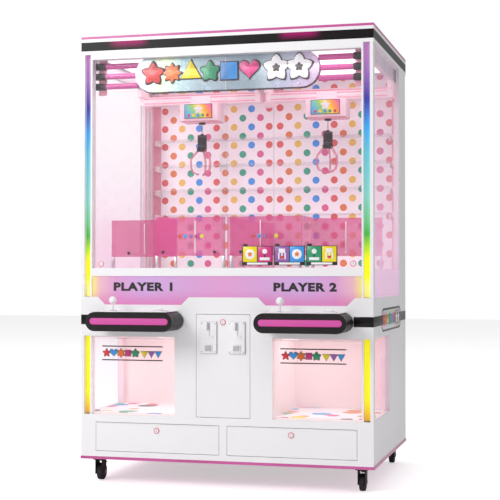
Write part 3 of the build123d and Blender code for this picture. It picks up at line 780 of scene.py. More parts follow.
def sign_pieces():
    tokens = [("sign_star", -336, lambda s: star_shape(s, 5, 0.6), 56, "red"),
              ("sign_disc", -246, petals_shape(8), 45, "orange"),
              ("sign_triangle", -158, triangle_shape, 58, "yellow"),
              ("sign_flower", -70, petals_shape(5), 48, "green"),
              ("sign_square", 18, square_shape, 57, "blue"),
              ("sign_heart", 110, heart_shape, 50, "rose")]
    for name, x, outline_of, size, finish in tokens:
        sides = 60 if name == "sign_star" else 72
        raised_token(name, x, outline_of, size, finish, sides=sides)
    for index, x in enumerate((232, 334)):
        done(shape((x, SIGN_FRONT - 4, SIGN_Z + 4), star_shape(68, 5, 0.62), 4, 1.0, 60),
             f"sign_big_star_backing_{index + 1}", "outline")
        done(shape((x, SIGN_FRONT - 13, SIGN_Z + 4), star_shape(61, 5, 0.62), 9, 3, 60, 3),
             f"sign_big_star_{index + 1}", "white_plastic")
        done(shape((x, SIGN_FRONT - 14, SIGN_Z + 4), star_shape(20, 5, 0.62), 1.2, 0.4, 60),
             f"sign_big_star_inlay_{index + 1}", "outline")
    done(shape((0, SIGN_BACK - 2, SIGN_Z - 2), slot_shape(848, 168), 5, 1, 96), "sign_dark_rim", "outline")
    done(slab(-0.8, 0.8, SIGN_FRONT - 0.5, SIGN_FRONT + 1, SIGN_Z - 80, SIGN_Z + 80, 0.2),
         "sign_seam", "white_plastic")
    screw = drum((0, SIGN_FRONT - 1, SIGN_Z), 4, 2.4, "y", 0.8, 20)
    for index, (x, z) in enumerate([(-330, 68), (-330, -68), (0, 70), (0, -70), (330, 68), (330, -68)]):
        copy_of(screw, f"sign_screw_{index + 1}", (x + (4 if x == 0 else 0), 0, z), "chrome")
    bpy.data.objects.remove(screw)
    tubes = span("light_tubes")
    tube_y = (tubes[0][1] + tubes[1][1]) / 2
    cap = drum((0, tube_y, SIGN_Z), 16, 30, "x", 2.5, 40, 3)
    for name, side in SIDES.items():
        for row in (-1, 0, 1):
            z = row * 45.5
            copy_of(cap, f"tube_cap_{name}_{row + 2}", (side * 583, 0, z), "moulded_black")
            copy_of(cap, f"tube_socket_{name}_{row + 2}", (side * 604, 0, z), "moulded_black")
        x0, x1 = outward(side, 572, 612)
        done(slab(x0, x1, tube_y + 15, tube_y + 19, SIGN_Z - 84, SIGN_Z + 84, 2),
             f"tube_plate_{name}", "mid_pink")
    bpy.data.objects.remove(cap)


# --- console -----------------------------------------------------------------------

HOUSING_X = 378.0
HOUSING = span("control_housings")
HOUSING_TOP = HOUSING[1][2]
NOSE_Y = HOUSING[0][1]
STICK_X = -103.0
BUTTON_X = 110.0
CONTROLS_Y = FRONT_Y - 80.0
LIGHT_Z = 727.0


def cut(piece, cutter):
    """Cuts one closed piece out of another and removes the cutter."""
    modify(piece, "BOOLEAN", object=cutter, operation="DIFFERENCE", solver="EXACT")
    bpy.data.objects.remove(cutter)


def console_pieces():
    for name, side in SIDES.items():
        x = side * HOUSING_X
        done(shape((x, NOSE_Y + 1.2, LIGHT_Z), slot_shape(358, 28), 3.6, 1.4, 64, 3),
             f"console_light_{name}", "lamp_pink")
        done(shape((x, NOSE_Y + 3.4, LIGHT_Z), slot_shape(360, 30), 1.4, 0.3, 64),
             f"console_light_edge_{name}", "lamp_pink_edge")
        deck = slab(x - 168, x + 168, NOSE_Y + 6, FRONT_Y, HOUSING_TOP, HOUSING_TOP + 4, 1.6, 3)
        cut(deck, drum((x + STICK_X, CONTROLS_Y, HOUSING_TOP + 2), 14, 20, "z", 0))
        cut(deck, drum((x + BUTTON_X, CONTROLS_Y, HOUSING_TOP + 2), 21, 20, "z", 0))
        done(deck, f"console_deck_{name}", "white_plastic")
        done(ring((x + STICK_X, CONTROLS_Y, HOUSING_TOP + 4), 15.5, 1.8, "z"),
             f"joystick_collar_{name}", "grey_trim_and_shadow")
        bezel = slab(x + BUTTON_X - 31, x + BUTTON_X + 31, CONTROLS_Y - 31, CONTROLS_Y + 31, HOUSING_TOP + 4,
                     HOUSING_TOP + 7, 1.2, 3)
        cut(bezel, drum((x + BUTTON_X, CONTROLS_Y, HOUSING_TOP + 5), 21, 20, "z", 0))
        done(bezel, f"button_bezel_{name}", "white_plastic")
        # The lip ring is a real part, but its grey is partly painted shadow: it stands in for the shadow line
        # under the button's white top.
        done(ring((x + BUTTON_X, CONTROLS_Y, HOUSING_TOP + 7), 22.5, 1.6, "z"),
             f"button_lip_{name}", "grey_trim_and_shadow")
        for end in (-1, 1):
            done(drum((x + end * 150, NOSE_Y + 26, HOUSING_TOP + 4.4), 4, 2.6, "z", 0.8, 20),
                 f"console_bolt_{name}_{'ab'[end > 0]}", "chrome")
        done(slab(x - 120, x + 120, FRONT_Y - 26, FRONT_Y, 678, 685, 2),
             f"console_bracket_{name}", "moulded_black")


LETTER_DEPTH = 0.8


def lettering(name, words, x0, x1, z0, z1, y, finish):
    """Plain raised lettering between two sides and two heights."""
    alone()
    bpy.ops.object.text_add()
    piece = bpy.context.object
    piece.data.body = words
    piece.data.extrude = 0.02
    piece.data.offset = 0.05
    piece.data.space_character = 1.12
    alone(piece)
    bpy.ops.object.convert(target="MESH")
    piece = bpy.context.object
    points = [vertex.co.copy() for vertex in piece.data.vertices]
    low = [min(point[axis] for point in points) for axis in range(3)]
    high = [max(point[axis] for point in points) for axis in range(3)]
    for vertex, point in zip(piece.data.vertices, points):
        share = [(point[axis] - low[axis]) / (high[axis] - low[axis]) for axis in range(3)]
        vertex.co = Vector(((x0 + share[0] * (x1 - x0)) * MM, (y - share[2] * LETTER_DEPTH) * MM,
                            (z0 + share[1] * (z1 - z0)) * MM))
    return done(piece, name, finish, smooth=0)


FASCIA_Y = span("fascia")[0][1]


def fascia_pieces():
    lettering("seat_mark_1", "PLAYER 1", -509, -233, 857, 895, FASCIA_Y, "ink")
    lettering("seat_mark_2", "PLAYER 2", 226, 504, 857, 895, FASCIA_Y, "ink")


# --- front frame and windows -----------------------------------------------------------

def lock(name, x, y, z, body):
    """A cam lock: red ring, white rose and a key slot."""
    done(ring((x, y - 1.5, z), 11, 2.2), f"{name}_ring", "lock_red", body)
    done(drum((x, y - 1.5, z), 10, 3.6, "y", 1.2, 40, 3), f"{name}_rose", "white_plastic", body)
    done(slab(x - 0.8, x + 0.8, y - 3.7, y - 3, z - 4, z + 4, 0.2), f"{name}_key_slot", "outline", body)


def window_pieces():
    for name, side in SIDES.items():
        body = f"window_{name}"
        low = span(body)[0]
        lock(f"window_lock_{name}", side * 575, low[1], 977, body)
        done(slab(side * 16 - 4, side * 16 + 4, low[1] - 1.2, low[1], 1380, 1460, 0.5),
             f"window_pull_{name}", "clear_acrylic", body)


CARD_INKS = [("yellow", "rose"), ("violet", "blue"), ("green", "yellow")]


def card_pieces():
    """Three how-to-play cards, each with two plain pictograms."""
    body = "window_right"
    face = span(body)[0][1]
    for index, x0 in enumerate((85, 228, 370)):
        x1 = x0 + 136
        done(slab(x0, x1, face - 0.6, face, 970, 1054, 0.2), f"card_{index + 1}", "ink", body)
        done(slab(x0 + 4, x0 + 24, face - 0.6, face, 1053, 1063, 0.2), f"card_tab_{index + 1}", "ink", body)
        done(slab(x0 + 22, x1 - 22, face - 0.9, face - 0.5, 973, 982, 0.1),
             f"card_strip_{index + 1}", "white_plastic", body)
        for half in (0, 1):
            a = x0 + 4 + half * 66
            done(slab(a, a + 62, face - 0.9, face - 0.4, 985, 1051, 0.1),
                 f"card_picture_{index + 1}_{half + 1}", CARD_INKS[index][half], body)
            pictogram(index * 2 + half, a + 31, 1018, face - 1.3, f"card_sign_{index + 1}_{half + 1}", body)


def pictogram(kind, x, z, y, name, body):
    """A plain sign by kind: a coin with a star, a stick with its ball, or a claw over a heart."""
    paper = "white_plastic"
    if kind in (0, 3):
        done(shape((x, y, z), polygon_shape(22, 16), 0.4, 0.1, 48), f"{name}_disc", paper, body)
        done(shape((x, y - 0.3, z), star_shape(12), 0.3, 0.1, 60), f"{name}_star", "orange", body)
    elif kind in (1, 4):
        done(slab(x - 22, x + 22, y, y + 0.4, z - 26, z - 14, 0.1), f"{name}_base", paper, body)
        done(slab(x - 3, x + 3, y, y + 0.4, z - 14, z + 8, 0.1), f"{name}_stem", "outline", body)
        done(shape((x, y - 0.2, z + 12), polygon_shape(11, 16), 0.4, 0.1, 48), f"{name}_ball", paper, body)
    else:
        done(slab(x - 14, x + 14, y, y + 0.4, z + 6, z + 24, 0.1), f"{name}_head", paper, body)
        for side in (-1, 0, 1):
            done(slab(x + side * 14 - 3, x + side * 14 + 3, y, y + 0.4, z - 22, z + 6, 0.1),
                 f"{name}_arm_{side + 2}", paper, body)
        done(shape((x, y - 0.3, z - 14), heart_shape(9), 0.3, 0.1, 48), f"{name}_prize", "red", body)


# --- doors, coin plates and prize flaps ------------------------------------------------

COIN_X = 64.0
COIN_Z = 655.0


def door_pieces():
    lock("coin_door_lock", 0, FRONT_Y, 722, "coin_door")
    plates = span("coin_plates")
    face = plates[0][1]
    slot_z = plates[0][2] + 103.5
    for name, side in SIDES.items():
        x = side * COIN_X
        # Painted shadow: a grey slab behind each coin plate, reaching further right and down than the plate,
        # stands in for the plate's drop shadow on the door.
        done(slab(x - 37.6, x + 38.4, FRONT_Y - 1.6, FRONT_Y, COIN_Z - 71, COIN_Z + 69.6, 0.4),
             f"coin_plate_shadow_{name}", "grey_trim_and_shadow", "coin_door")
        for edge in (-1, 1):
            done(slab(x + edge * 5 - 2.4, x + edge * 5 + 2.4, face - 3, face, slot_z - 4, slot_z + 32, 1, 3),
                 f"coin_guide_{name}_{'ab'[edge > 0]}", "grey_trim_and_shadow", "coin_door")
        cup = slab(x - 18, x + 18, face - 5, face, plates[0][2] + 8, plates[0][2] + 40, 3, 3)
        alone(cup)
        bpy.ops.object.mode_set(mode="EDIT")
        bpy.ops.mesh.select_all(action="DESELECT")
        bpy.ops.object.mode_set(mode="OBJECT")
        for polygon in cup.data.polygons:
            polygon.select = polygon.normal.y < -0.99
        bpy.ops.object.mode_set(mode="EDIT")
        bpy.ops.mesh.inset(thickness=0.003)
        bpy.ops.transform.translate(value=(0, 0.0044, -0.002))
        bpy.ops.object.mode_set(mode="OBJECT")
        done(cup, f"coin_cup_{name}", "coin_steel", "coin_door")
        done(slab(x - 13, x + 13, face - 2.6, face - 1.6, plates[0][2] + 13, plates[0][2] + 34, 0.4),
             f"coin_cup_back_{name}", "grey_trim_and_shadow", "coin_door")
        for index, (dx, dz) in enumerate([(-30, -62), (30, -62), (-30, 62), (30, 62)]):
            done(drum((x + dx, face - 0.8, COIN_Z + dz), 2.6, 2, "y", 0.6, 16),
                 f"coin_screw_{name}_{index + 1}", "chrome", "coin_door")
    for name, side in SIDES.items():
        body = f"service_door_{name}"
        low, high = span(body)
        lock(f"service_lock_{name}", side * 304.5, low[1], 240, body)
        done(slab(low[0] + 8, high[0] - 8, low[1] - 1.0, low[1], high[2] - 3.4, high[2] - 0.6, 0.4),
             f"service_door_lip_{name}", "white_plastic", body)


PRIZE_INKS = ["red", "blue", "orange", "rose", "green", "yellow", "violet", "blue"]
PRIZE_AT = [-121, -87, -53, -19, 15, 57, 90, 122]
PRIZE_SHAPES = [star_shape, heart_shape, petals_shape(6), square_shape,
                petals_shape(5)] + [triangle_down_shape] * 3


def flap_pieces():
    """Prize sign: two dark rules with coloured tokens between them, the last ones pointing down."""
    for name, side in SIDES.items():
        body = f"prize_flap_{name}"
        low, high = span(body)
        face = low[1]
        x0, x1 = (-564, -279) if side < 0 else (256, 545)
        middle = (x0 + x1) / 2
        for index, z in enumerate((549, 610)):
            done(slab(x0, x1, face - 0.9, face, z - 2.6, z + 2.6, 0.3),
                 f"prize_rule_{name}_{index + 1}", "outline", body)
        for index, (dx, ink, outline_of) in enumerate(zip(PRIZE_AT, PRIZE_INKS, PRIZE_SHAPES)):
            x = middle + dx
            done(shape((x, face - 1, 580), outline_of(21), 1, 0.2, 60),
                 f"prize_token_backing_{name}_{index + 1}", "outline", body)
            done(shape((x, face - 2.4, 580), outline_of(18), 1.6, 0.5, 60),
                 f"prize_token_{name}_{index + 1}", ink, body)
        done(slab(low[0] + 7, high[0] - 7, face - 1.5, face + 6.5, high[2] - 12, high[2] - 1, 0.8),
             f"prize_flap_rail_{name}", "clear_acrylic", body)


# The mat's printed patches are about 91 mm across.
PATCHES_PER_METRE = 11.0


def mat_finish():
    """Printed vinyl mat: overlapping rounded patches of bright colour on white."""
    # Its faint glow is painted light: the mat shines by itself, as if lit by the prize lamps, though it holds no
    # lamp.
    made, tree, shader, place = material("printed_mat", "#FFFFFF", 0.45, Emission_Strength=0.08)
    flat = add(tree, "ShaderNodeMapping", None, {"Vector": place, "Scale": (1, 1, 0.02)})
    cells = add(tree, "ShaderNodeTexVoronoi", {"feature": "F1"}, {"Vector": flat, "Scale": PATCHES_PER_METRE})
    tone = add(tree, "ShaderNodeSeparateColor", None, {0: cells.outputs["Color"]})
    inks = ramp(tree, tone.outputs[0], [(0, "#F7F6F8"), (0.3, "#3FA5DE"), (0.42, "#F7F6F8"),
                                        (0.55, "#F2DC3A"),
                                        (0.66, "#E58A45"), (0.74, "#4DA983"), (0.82, "#2C2A30"),
                                        (0.88, "#DB5F93"), (1, "#F7F6F8")], 0, 1, "CONSTANT")
    near = add(tree, "ShaderNodeMath", {"operation": "LESS_THAN"}, {0: cells.outputs["Distance"], 1: 0.52})
    mix = add(tree, "ShaderNodeMix", {"data_type": "RGBA"}, {"Factor": near, 6: srgb("#F7F6F8"), 7: inks})
    tree.links.new(mix.outputs[2], shader.inputs["Base Color"])
    tree.links.new(mix.outputs[2], shader.inputs["Emission Color"])
    grain(tree, shader, place, 1.2, 0.05, 0.3)
    return made


PRIZE_FLOOR_Z = 309.0
PRIZE_BACK_Y = FRONT_Y + 456.0


def prize_box_pieces():
    mat = mat_finish()
    for name, side in SIDES.items():
        x0, x1 = outward(side, 226, 640)
        done(slab(x0, x1, FRONT_Y + 46, PRIZE_BACK_Y - 6, PRIZE_FLOOR_Z, PRIZE_FLOOR_Z + 3, 1),
             f"prize_mat_{name}", mat)
        done(slab(*outward(side, 622, 646), PRIZE_BACK_Y - 34, PRIZE_BACK_Y - 1, 310, 650, 2),
             f"prize_corner_trim_{name}", "pale_pink")
        done(slab(*outward(side, 250, 325), FRONT_Y + 60, PRIZE_BACK_Y - 60, 646, 650.5, 1.5),
             f"prize_lamp_{name}", "lamp_white")


# --- play area ---------------------------------------------------------------------------

FENCE_LOW = 1013.0
FENCE_TOP = 1186.0
FENCE_X = 329.0
FENCE_Y = FRONT_Y + 339.0
FRONT_FENCE_Y = FRONT_Y + 75.0


def fence_pieces():
    for name, side in SIDES.items():
        uprights = [(FENCE_X, FENCE_Y), (FENCE_X, FRONT_FENCE_Y), (18, FRONT_FENCE_Y), (641, FENCE_Y)]
        for index, (x, y) in enumerate(uprights):
            done(slab(side * x - 6.4, side * x + 6.4, y - 6.4, y + 6.4, DECK_Z, FENCE_LOW, 1),
                 f"fence_foot_{name}_{index + 1}", "rail")
            done(slab(side * x - 13, side * x + 13, y - 13, y + 13, DECK_Z, DECK_Z + 3, 1),
                 f"fence_plate_{name}_{index + 1}", "rail")
        for index, (x, y) in enumerate([(560, FENCE_Y - 7), (400, FENCE_Y - 7), (300, FRONT_FENCE_Y - 4),
                                        (60, FRONT_FENCE_Y - 4)]):
            done(drum((side * x, y, 1030), 7, 6, "y", 1.2, 24),
                 f"fence_knob_{name}_{index + 1}", "moulded_black")
        for index, (x, y) in enumerate([(482, FENCE_Y - 6), (150, FRONT_FENCE_Y - 4)]):
            done(slab(side * x - 2.5, side * x + 2.5, y, y + 4, FENCE_LOW + 12, FENCE_TOP - 16, 1),
                 f"fence_bead_{name}_{index + 1}", "white_plastic")
        inks = ["red", "blue", "violet", "rose", "yellow"]
        for index, ink in enumerate(inks):
            x = side * 170 + (index - 2) * 26
            sign = shape((x, FRONT_FENCE_Y - 4, 1100), star_shape(12) if index % 2 else flower_shape(11), 1.4,
                         0.3, 60)
            done(sign, f"fence_token_{name}_{index + 1}", ink)
        done(slab(side * FENCE_X - 3.5, side * FENCE_X + 3.5, FRONT_FENCE_Y, FENCE_Y, FENCE_TOP - 1,
                  FENCE_TOP + 3, 1),
             f"fence_cap_{name}", "mid_pink")


def back_pieces():
    done(slab(-3, 3, WALL_Y - 1, WALL_Y, DECK_Z, 1800, 0.3), "back_seam", "white_plastic")
    for name, side in SIDES.items():
        x0, x1 = outward(side, 604, 646)
        done(slab(x0, x1, WALL_Y - 10, WALL_Y, DECK_Z, 1800, 1.5), f"back_return_{name}", "mid_pink")
        done(slab(*outward(side, 640, 646.5), FRONT_Y + 776, WALL_Y - 10, DECK_Z, 1855, 1),
             f"side_return_{name}", "pale_pink")
        for index, y in enumerate((FRONT_Y + 800, FRONT_Y + 850)):
            done(slab(*outward(side, 630, 640), y, y + 12, DECK_Z + 10, 1770, 3, 3),
                 f"side_bar_{name}_{index + 1}", "white_plastic")
        for level in SHELF_LEVELS:
            tag = f"{name}_{int(level)}"
            done(slab(*outward(side, 597, 603), WALL_Y - 62, WALL_Y, level - 26, level, 2),
                 f"shelf_bracket_{tag}", "white_plastic")
            done(slab(*outward(side, 604, 632), WALL_Y - 26, WALL_Y - 10, level - 18, level + 10, 4, 3),
                 f"shelf_clamp_{tag}", "pale_pink")
    for level in SHELF_LEVELS:
        done(slab(-599, 599, WALL_Y - 67, WALL_Y - 63, level + 6, level + 10, 1),
             f"shelf_nose_{int(level)}", "clear_acrylic")
    done(slab(-646, 646, WALL_Y - 66, WALL_Y, 1800, 1856, 3), "back_valance", "pale_pink")
    for index, (z, finish) in enumerate([(1808, "mid_pink"), (1828, "white_plastic"), (1846, "mid_pink")]):
        done(slab(-640, 640, WALL_Y - 69, WALL_Y - 65, z - 4, z + 4, 1.4),
             f"valance_line_{index + 1}", finish)
    done(slab(-58, 58, WALL_Y - 94, WALL_Y - 66, 1800, 1856, 5, 3), "centre_bracket", "mid_pink")
    done(slab(-30, 30, WALL_Y - 90, WALL_Y - 66, 1766, 1800, 6, 3), "centre_bracket_foot", "pale_pink")


# --- cranes --------------------------------------------------------------------------------

def screen_finish():
    """Lit screen: a rainbow wash under a polished cover, the same on both cranes."""
    made, tree, shader, place = material("screen_rainbow", "#FFFFFF", 0.4, Coat_Weight=0.1,
                                         Coat_Roughness=0.2, Emission_Strength=0.2)
    axes = add(tree, "ShaderNodeSeparateXYZ", None, {0: place})
    outward_x = add(tree, "ShaderNodeMath", {"operation": "ABSOLUTE"}, {0: axes.outputs[0]})
    from_crane = add(tree, "ShaderNodeMath", {"operation": "SUBTRACT"}, {0: outward_x, 1: CRANE_X * MM})
    facing = add(tree, "ShaderNodeMath", {"operation": "SIGN"}, {0: axes.outputs[0]})
    local = add(tree, "ShaderNodeMath", {"operation": "MULTIPLY"}, {0: from_crane, 1: facing})
    up = add(tree, "ShaderNodeMath", {"operation": "SUBTRACT"}, {0: axes.outputs[2], 1: 1.745})
    slant = add(tree, "ShaderNodeMath", {"operation": "MULTIPLY"}, {0: up, 1: 0.6})
    along = add(tree, "ShaderNodeMath", {"operation": "ADD"}, {0: local, 1: slant})
    tone = ramp(tree, along.outputs[0], [(-0.09, "#3E9FDD"), (-0.055, "#58B7C0"), (-0.02, "#8FC24A"),
                                         (0.01, "#F2D33A"), (0.045, "#EE8A35"), (0.075, "#DC4C8C"),
                                         (0.095, "#B4409A")], -0.1, 0.1)
    tree.links.new(tone, shader.inputs["Base Color"])
    tree.links.new(tone, shader.inputs["Emission Color"])
    uneven(tree, shader, place, "Roughness", 0.34, 0.46, 30)
    return made


CRANE_X = 320.0
CRANE_Y = FRONT_Y + 732.0


def crane_pieces():
    screen = screen_finish()
    for name, side in SIDES.items():
        x = side * CRANE_X
        body = f"carriage_{name}"
        low, high = span(body)
        face = low[1]
        done(slab(x - 76, x + 76, face - 5, face, 1699, 1777, 5, 3), f"screen_bezel_{name}",
             "pale_pink", body)
        done(slab(x - 72, x + 72, face - 7, face - 4, 1702, 1774, 3, 3), f"screen_edge_{name}",
             "outline", body)
        done(slab(x - 69, x + 69, face - 8, face - 6, 1705, 1771, 2, 2), f"screen_{name}", screen, body)
        done(shape((x, face - 8.6, 1746), star_shape(25), 0.8, 0.2, 60), f"screen_star_{name}",
             "white_plastic", body)
        for index, ink in enumerate(["rose", "yellow", "blue", "green", "red"]):
            done(shape((x + (index - 2) * 24, face - 8.8, 1717), polygon_shape(8, 12), 0.8, 0.2, 48),
                 f"screen_dot_{name}_{index + 1}", ink, body)
        done(slab(x - 96, x + 96, face + 8, high[1] - 8, low[2] - 5, low[2], 2), f"carriage_skirt_{name}",
             "mid_pink", body)
        done(drum((x, CRANE_Y, low[2] - 8), 17, 12, "z", 2), f"cable_guide_{name}", "moulded_black", body)
        beam = f"bridge_{name}"
        for index, (z, ink) in enumerate([(1788, "mid_pink"), (1800, "white_plastic"), (1812, "mid_pink")]):
            x0, x1 = outward(side, 40, 618)
            done(slab(x0, x1, CRANE_Y - 26.6, CRANE_Y - 25, z - 3, z + 3, 0.6),
                 f"beam_line_{name}_{index + 1}", ink, beam)
        claw = f"claw_{name}"
        done(ring((x, CRANE_Y, 1616), 22.6, 1.8, "z"), f"head_ring_top_{name}", "grey_plastic", claw)
        done(ring((x, CRANE_Y, 1568), 22.6, 1.8, "z"), f"head_ring_low_{name}", "grey_plastic", claw)
        done(drum((x, CRANE_Y, 1627), 8, 10, "z", 2), f"cable_boss_{name}", "moulded_black", claw)
        for arm in range(3):
            angle = math.radians(90 + 120 * arm)
            across, deep = math.cos(angle) * side, math.sin(angle)
            done(drum((x + 22 * across, CRANE_Y + 22 * deep, 1429), 7, 9, "z", 3, 24, 3),
                 f"claw_tip_{arm + 1}_{name}", "claw_pink", f"claw_arm_{arm + 1}_{name}")


# --- sides, rear and casters -----------------------------------------------------------------

def badge_finish():
    """Foil badge: silver with a pale rainbow sweep along it."""
    made, tree, shader, place = material("foil_badge", "#D9D9E0", 0.22, Metallic=0.3, Coat_Weight=0.4,
                                         Coat_Roughness=0.1)
    axes = add(tree, "ShaderNodeSeparateXYZ", None, {0: place})
    bend = add(tree, "ShaderNodeMath", {"operation": "MULTIPLY"}, {0: axes.outputs[2], 1: 0.8})
    sweep = add(tree, "ShaderNodeMath", {"operation": "ADD"}, {0: axes.outputs[1], 1: bend})
    tone = ramp(tree, sweep.outputs[0], [(0.36, "#D9D9E0"), (0.46, "#E7C4DC"), (0.56, "#C9DCEB"),
                                         (0.68, "#DDE9C8"),
                                         (0.8, "#E9D2C0"), (0.95, "#D9D9E0")], 0.3, 1.0)
    tree.links.new(tone, shader.inputs["Base Color"])
    uneven(tree, shader, place, "Roughness", 0.16, 0.3, 20)
    return made


def side_token(name, side, y, z, outline_of, size, finish, out, sides=60):
    """A raised shape on a side wall."""
    piece = shape((0, 0, 0), outline_of(size), 1.2, 0.3, sides)
    for vertex in piece.data.vertices:
        across, deep, high = vertex.co
        vertex.co = Vector((side * ((PANEL_X + out) * MM - deep - 0.0012), y * MM + across, z * MM + high))
    face_outwards(piece)
    return done(piece, name, finish)


BADGE_Y = (-193.5, 402.5)
BADGE_Z = 727.5


BADGE_SHAPES = [(star_shape, "red"), (petals_shape(8), "orange"), (triangle_shape, "yellow"),
                (petals_shape(5), "green"), (square_shape, "blue"), (heart_shape, "rose")]


def side_pieces():
    foil = badge_finish()
    middle = (BADGE_Y[0] + BADGE_Y[1]) / 2
    wide = BADGE_Y[1] - BADGE_Y[0]
    for name, side in SIDES.items():
        x0, x1 = outward(side, PANEL_X - 0.5, PANEL_X + 1.2)
        done(slab(x0, x1, FRONT_Y + 1, FRONT_Y + 972, 707, 750, 0.4), f"side_strap_{name}", "black")
        for index in range(5):
            y = BADGE_Y[0] - 62 + index * 9
            done(slab(*outward(side, PANEL_X, PANEL_X + 1.7), y, y + 3, 710, 747, 0.4),
                 f"strap_rib_{name}_{index + 1}", "grey_plastic")
        side_token(f"badge_backing_{name}", side, middle, BADGE_Z, lambda s: slot_shape(wide, 104), 1,
                   "ink", 1.6, 96)
        side_token(f"badge_{name}", side, middle, BADGE_Z, lambda s: slot_shape(wide - 18, 86), 1, foil, 2.0,
                   96)
        for index, (kind, ink) in enumerate(BADGE_SHAPES):
            offset = (index - 2.5) * 60 - 84
            side_token(f"badge_shape_{name}_{index + 1}", side, middle + side * offset, BADGE_Z, kind, 33,
                       ink, 2.5)
        for index, offset in enumerate((148, 212)):
            side_token(f"badge_star_backing_{name}_{index + 1}", side, middle + side * offset, 728,
                       star_shape, 37,
                       "outline", 2.3)
            side_token(f"badge_star_{name}_{index + 1}", side, middle + side * offset, 728, star_shape, 31,
                       "white_plastic", 2.7)
        front = slab(*outward(side, HOUSING_X + 199, PANEL_X + 1.2), FRONT_Y - 1.2, FRONT_Y + 0.6,
                     707, 750, 0.4)
        done(front, f"front_strap_{name}", "black")
        done(slab(*outward(side, PANEL_X - 4, PANEL_X + 1), FRONT_Y + 766, FRONT_Y + 776, CONSOLE_TOP + 4,
                  ROOF_Z - 4, 1.5),
             f"side_window_bead_{name}", "white_plastic")
        for z in (840, ROOF_Z - 12):
            bead = slab(*outward(side, PANEL_X - 3, PANEL_X + 0.8), FRONT_Y + 44, FRONT_Y + 770,
                        z - 5, z + 5, 1.2)
            done(bead, f"side_window_bead_{name}_{int(z)}", "clear_acrylic")


def rear_pieces():
    """Rear service hatch lines, vents, screws and hinges."""
    y = REAR_Y
    done(slab(-482.5, 482.5, y - 0.4, y + 0.6, 957.5, 1782.5, 0.2), "rear_hatch_gap", "grey_plastic")
    done(slab(-480, 480, y - 0.4, y + 1.6, 960, 1780, 1, 2), "rear_hatch", "white")
    for index, z in enumerate((1060, 1370, 1680)):
        done(drum((-484, y + 0.6, z), 2.2, 70, "z", 0.5, 16), f"rear_hinge_{index + 1}", "chrome")
    done(ring((430, y + 0.4, 1370), 11, 2), "rear_lock_ring", "lock_red")
    done(drum((430, y + 0.9, 1370), 10, 3, "y", 1, 32), "rear_lock_rose", "white_plastic")
    for index in range(9):
        done(slab(-260, 260, y - 0.5, y + 2, 400 + index * 26, 408 + index * 26, 1.6, 2),
             f"rear_louvre_{index + 1}", "grey_plastic")
    screw = drum((0, y + 0.5, 0), 5, 2, "y", 0.8, 20)
    count = 0
    for x in (-625, -210, 210, 625):
        for z in (150, 620, 1160 if abs(x) > 500 else 880, 1890):
            count += 1
            copy_of(screw, f"rear_screw_{count}", (x, 0, z), "chrome")
    bpy.data.objects.remove(screw)
    rim = slab(462, 538, y - 0.5, y + 1.2, 178, 222, 3)
    cut(rim, slab(469, 531, y - 4, y + 4, 179, 221, 1))
    done(rim, "inlet_surround", "grey_plastic")


def caster_pieces():
    for corner in CORNERS:
        fork = f"caster_fork_{corner}"
        wheel = f"caster_wheel_{corner}"
        flow, fhigh = span(fork)
        wlow, whigh = span(wheel)
        x = (wlow[0] + whigh[0]) / 2
        y = (wlow[1] + whigh[1]) / 2
        z = (wlow[2] + whigh[2]) / 2
        for side in (-1, 1):
            done(drum((x + side * 12.2, y, z), 17, 1.6, "x", 0.6, 32),
                 f"{wheel}_hub_{'ab'[side > 0]}", "grey_plastic", wheel)
            done(drum((x + side * 18.6, y, z), 8, 3.4, "x", 0.8, 6),
                 f"{fork}_nut_{'ab'[side > 0]}", "chrome", fork)
        pedal = slab(x - 11, x + 11, y + 6, y + 44, 82, 86, 1.5)
        alone(pedal)
        for vertex in pedal.data.vertices:
            if vertex.co.y > (y + 26) * MM:
                vertex.co.z -= (vertex.co.y - (y + 26) * MM) * 0.6
        done(pedal, f"{fork}_brake", "moulded_black", fork)
        done(slab(flow[0] - 4, fhigh[0] + 4, y - 59, y + 9, 100.8, 104.9, 1),
             f"caster_plate_{corner}", "moulded_black")


roof_pieces()
sign_pieces()
console_pieces()
fascia_pieces()
window_pieces()
card_pieces()
door_pieces()
flap_pieces()
prize_box_pieces()
fence_pieces()
back_pieces()
crane_pieces()
side_pieces()
rear_pieces()
caster_pieces()


# --- hoist cables ------------------------------------------------------------------

def cable_pieces():
    """Each hoist cable is drawn as a dark rope where its imported part stands, and that part is hidden."""
    for name, side in SIDES.items():
        low, high = span(f"hoist_cable_{name}")
        x = (low[0] + high[0]) / 2
        y = (low[1] + high[1]) / 2
        rope = drum((x, y, (low[2] + high[2]) / 2), 1.5, high[2] - low[2], "z", 0, 16)
        rope.name = f"hoist_rope_{name}"
        rope.data.name = rope.name
        rope.data.materials.clear()
        rope.data.materials.append(FINISH["cable"])
        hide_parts(f"hoist_cable_{name}")
        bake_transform(rope)


cable_pieces()


# --- floor, light and camera ---------------------------------------------------

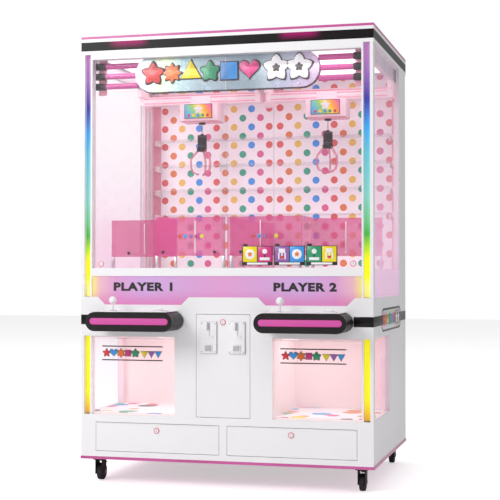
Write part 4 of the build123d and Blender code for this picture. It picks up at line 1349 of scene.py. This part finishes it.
def stage():
    alone()
    bpy.ops.mesh.primitive_plane_add(size=40, location=(0, 0, 0))
    floor = bpy.context.object
    floor.name = "floor"
    made, tree, shader, place = material("studio_floor", "#F4F3F5", 0.7, Emission_Color=srgb("#FFFFFF"))
    tinted(tree, shader, place, "#F3F2F4", "#F7F6F8", 900)
    seen = add(tree, "ShaderNodeLightPath")
    bright = add(tree, "ShaderNodeMath", {"operation": "MULTIPLY"}, {0: seen.outputs["Is Camera Ray"],
                                                                     1: 0.5})
    tree.links.new(bright.outputs[0], shader.inputs["Emission Strength"])
    floor.data.materials.append(made)


def area_light(name, place, target, size, power, colour=(1, 1, 1)):
    data = bpy.data.lights.new(name, "AREA")
    data.shape = "RECTANGLE"
    data.size, data.size_y = size
    data.energy = power
    data.color = colour
    light = bpy.data.objects.new(name, data)
    bpy.context.collection.objects.link(light)
    light.location = place
    light.rotation_euler = (Vector(target) - Vector(place)).to_track_quat("-Z", "Y").to_euler()


def lights():
    world = bpy.data.worlds.new("studio")
    bpy.context.scene.world = world
    world.use_nodes = True
    tree = world.node_tree
    backdrop = tree.nodes["Background"]
    backdrop.inputs[0].default_value = (1, 1, 1, 1)
    seen = add(tree, "ShaderNodeLightPath")
    strength = add(tree, "ShaderNodeMapRange", None, {"Value": seen.outputs["Is Camera Ray"], "To Min": 0.42,
                                                      "To Max": 1.0})
    tree.links.new(strength.outputs[0], backdrop.inputs[1])
    area_light("key", (-2.6, -4.2, 3.4), (0, 0, 1.0), (2.4, 2.4), 122)
    area_light("fill", (3.8, -3.2, 2.2), (0, 0, 0.9), (2.4, 2.4), 2)
    area_light("overhead", (0, -0.5, 6.5), (0, -0.5, 0), (18, 18), 420)
    for side in SIDES.values():
        area_light(f"cabin_{side}", (side * 0.33, -0.2, 1.9), (side * 0.33, 0.1, 1.0), (0.5, 0.5), 0.8,
                   (1, 0.97, 0.99))
        area_light(f"prize_{side}", (side * 0.43, -0.2, 0.645), (side * 0.43, -0.2, 0.3), (0.3, 0.25), 0.4,
                   (1, 0.96, 0.97))


def camera():
    data = bpy.data.cameras.new("camera")
    data.sensor_width = 36
    data.lens = 90.75
    made = bpy.data.objects.new("camera", data)
    bpy.context.collection.objects.link(made)
    made.location = (1.5293, -5.6928, 0.9369)
    made.rotation_euler = (math.pi / 2 + 0.0182, 0, 0.2602)
    bpy.context.scene.camera = made


stage()
lights()
camera()
bpy.context.scene.view_settings.view_transform = "Standard"
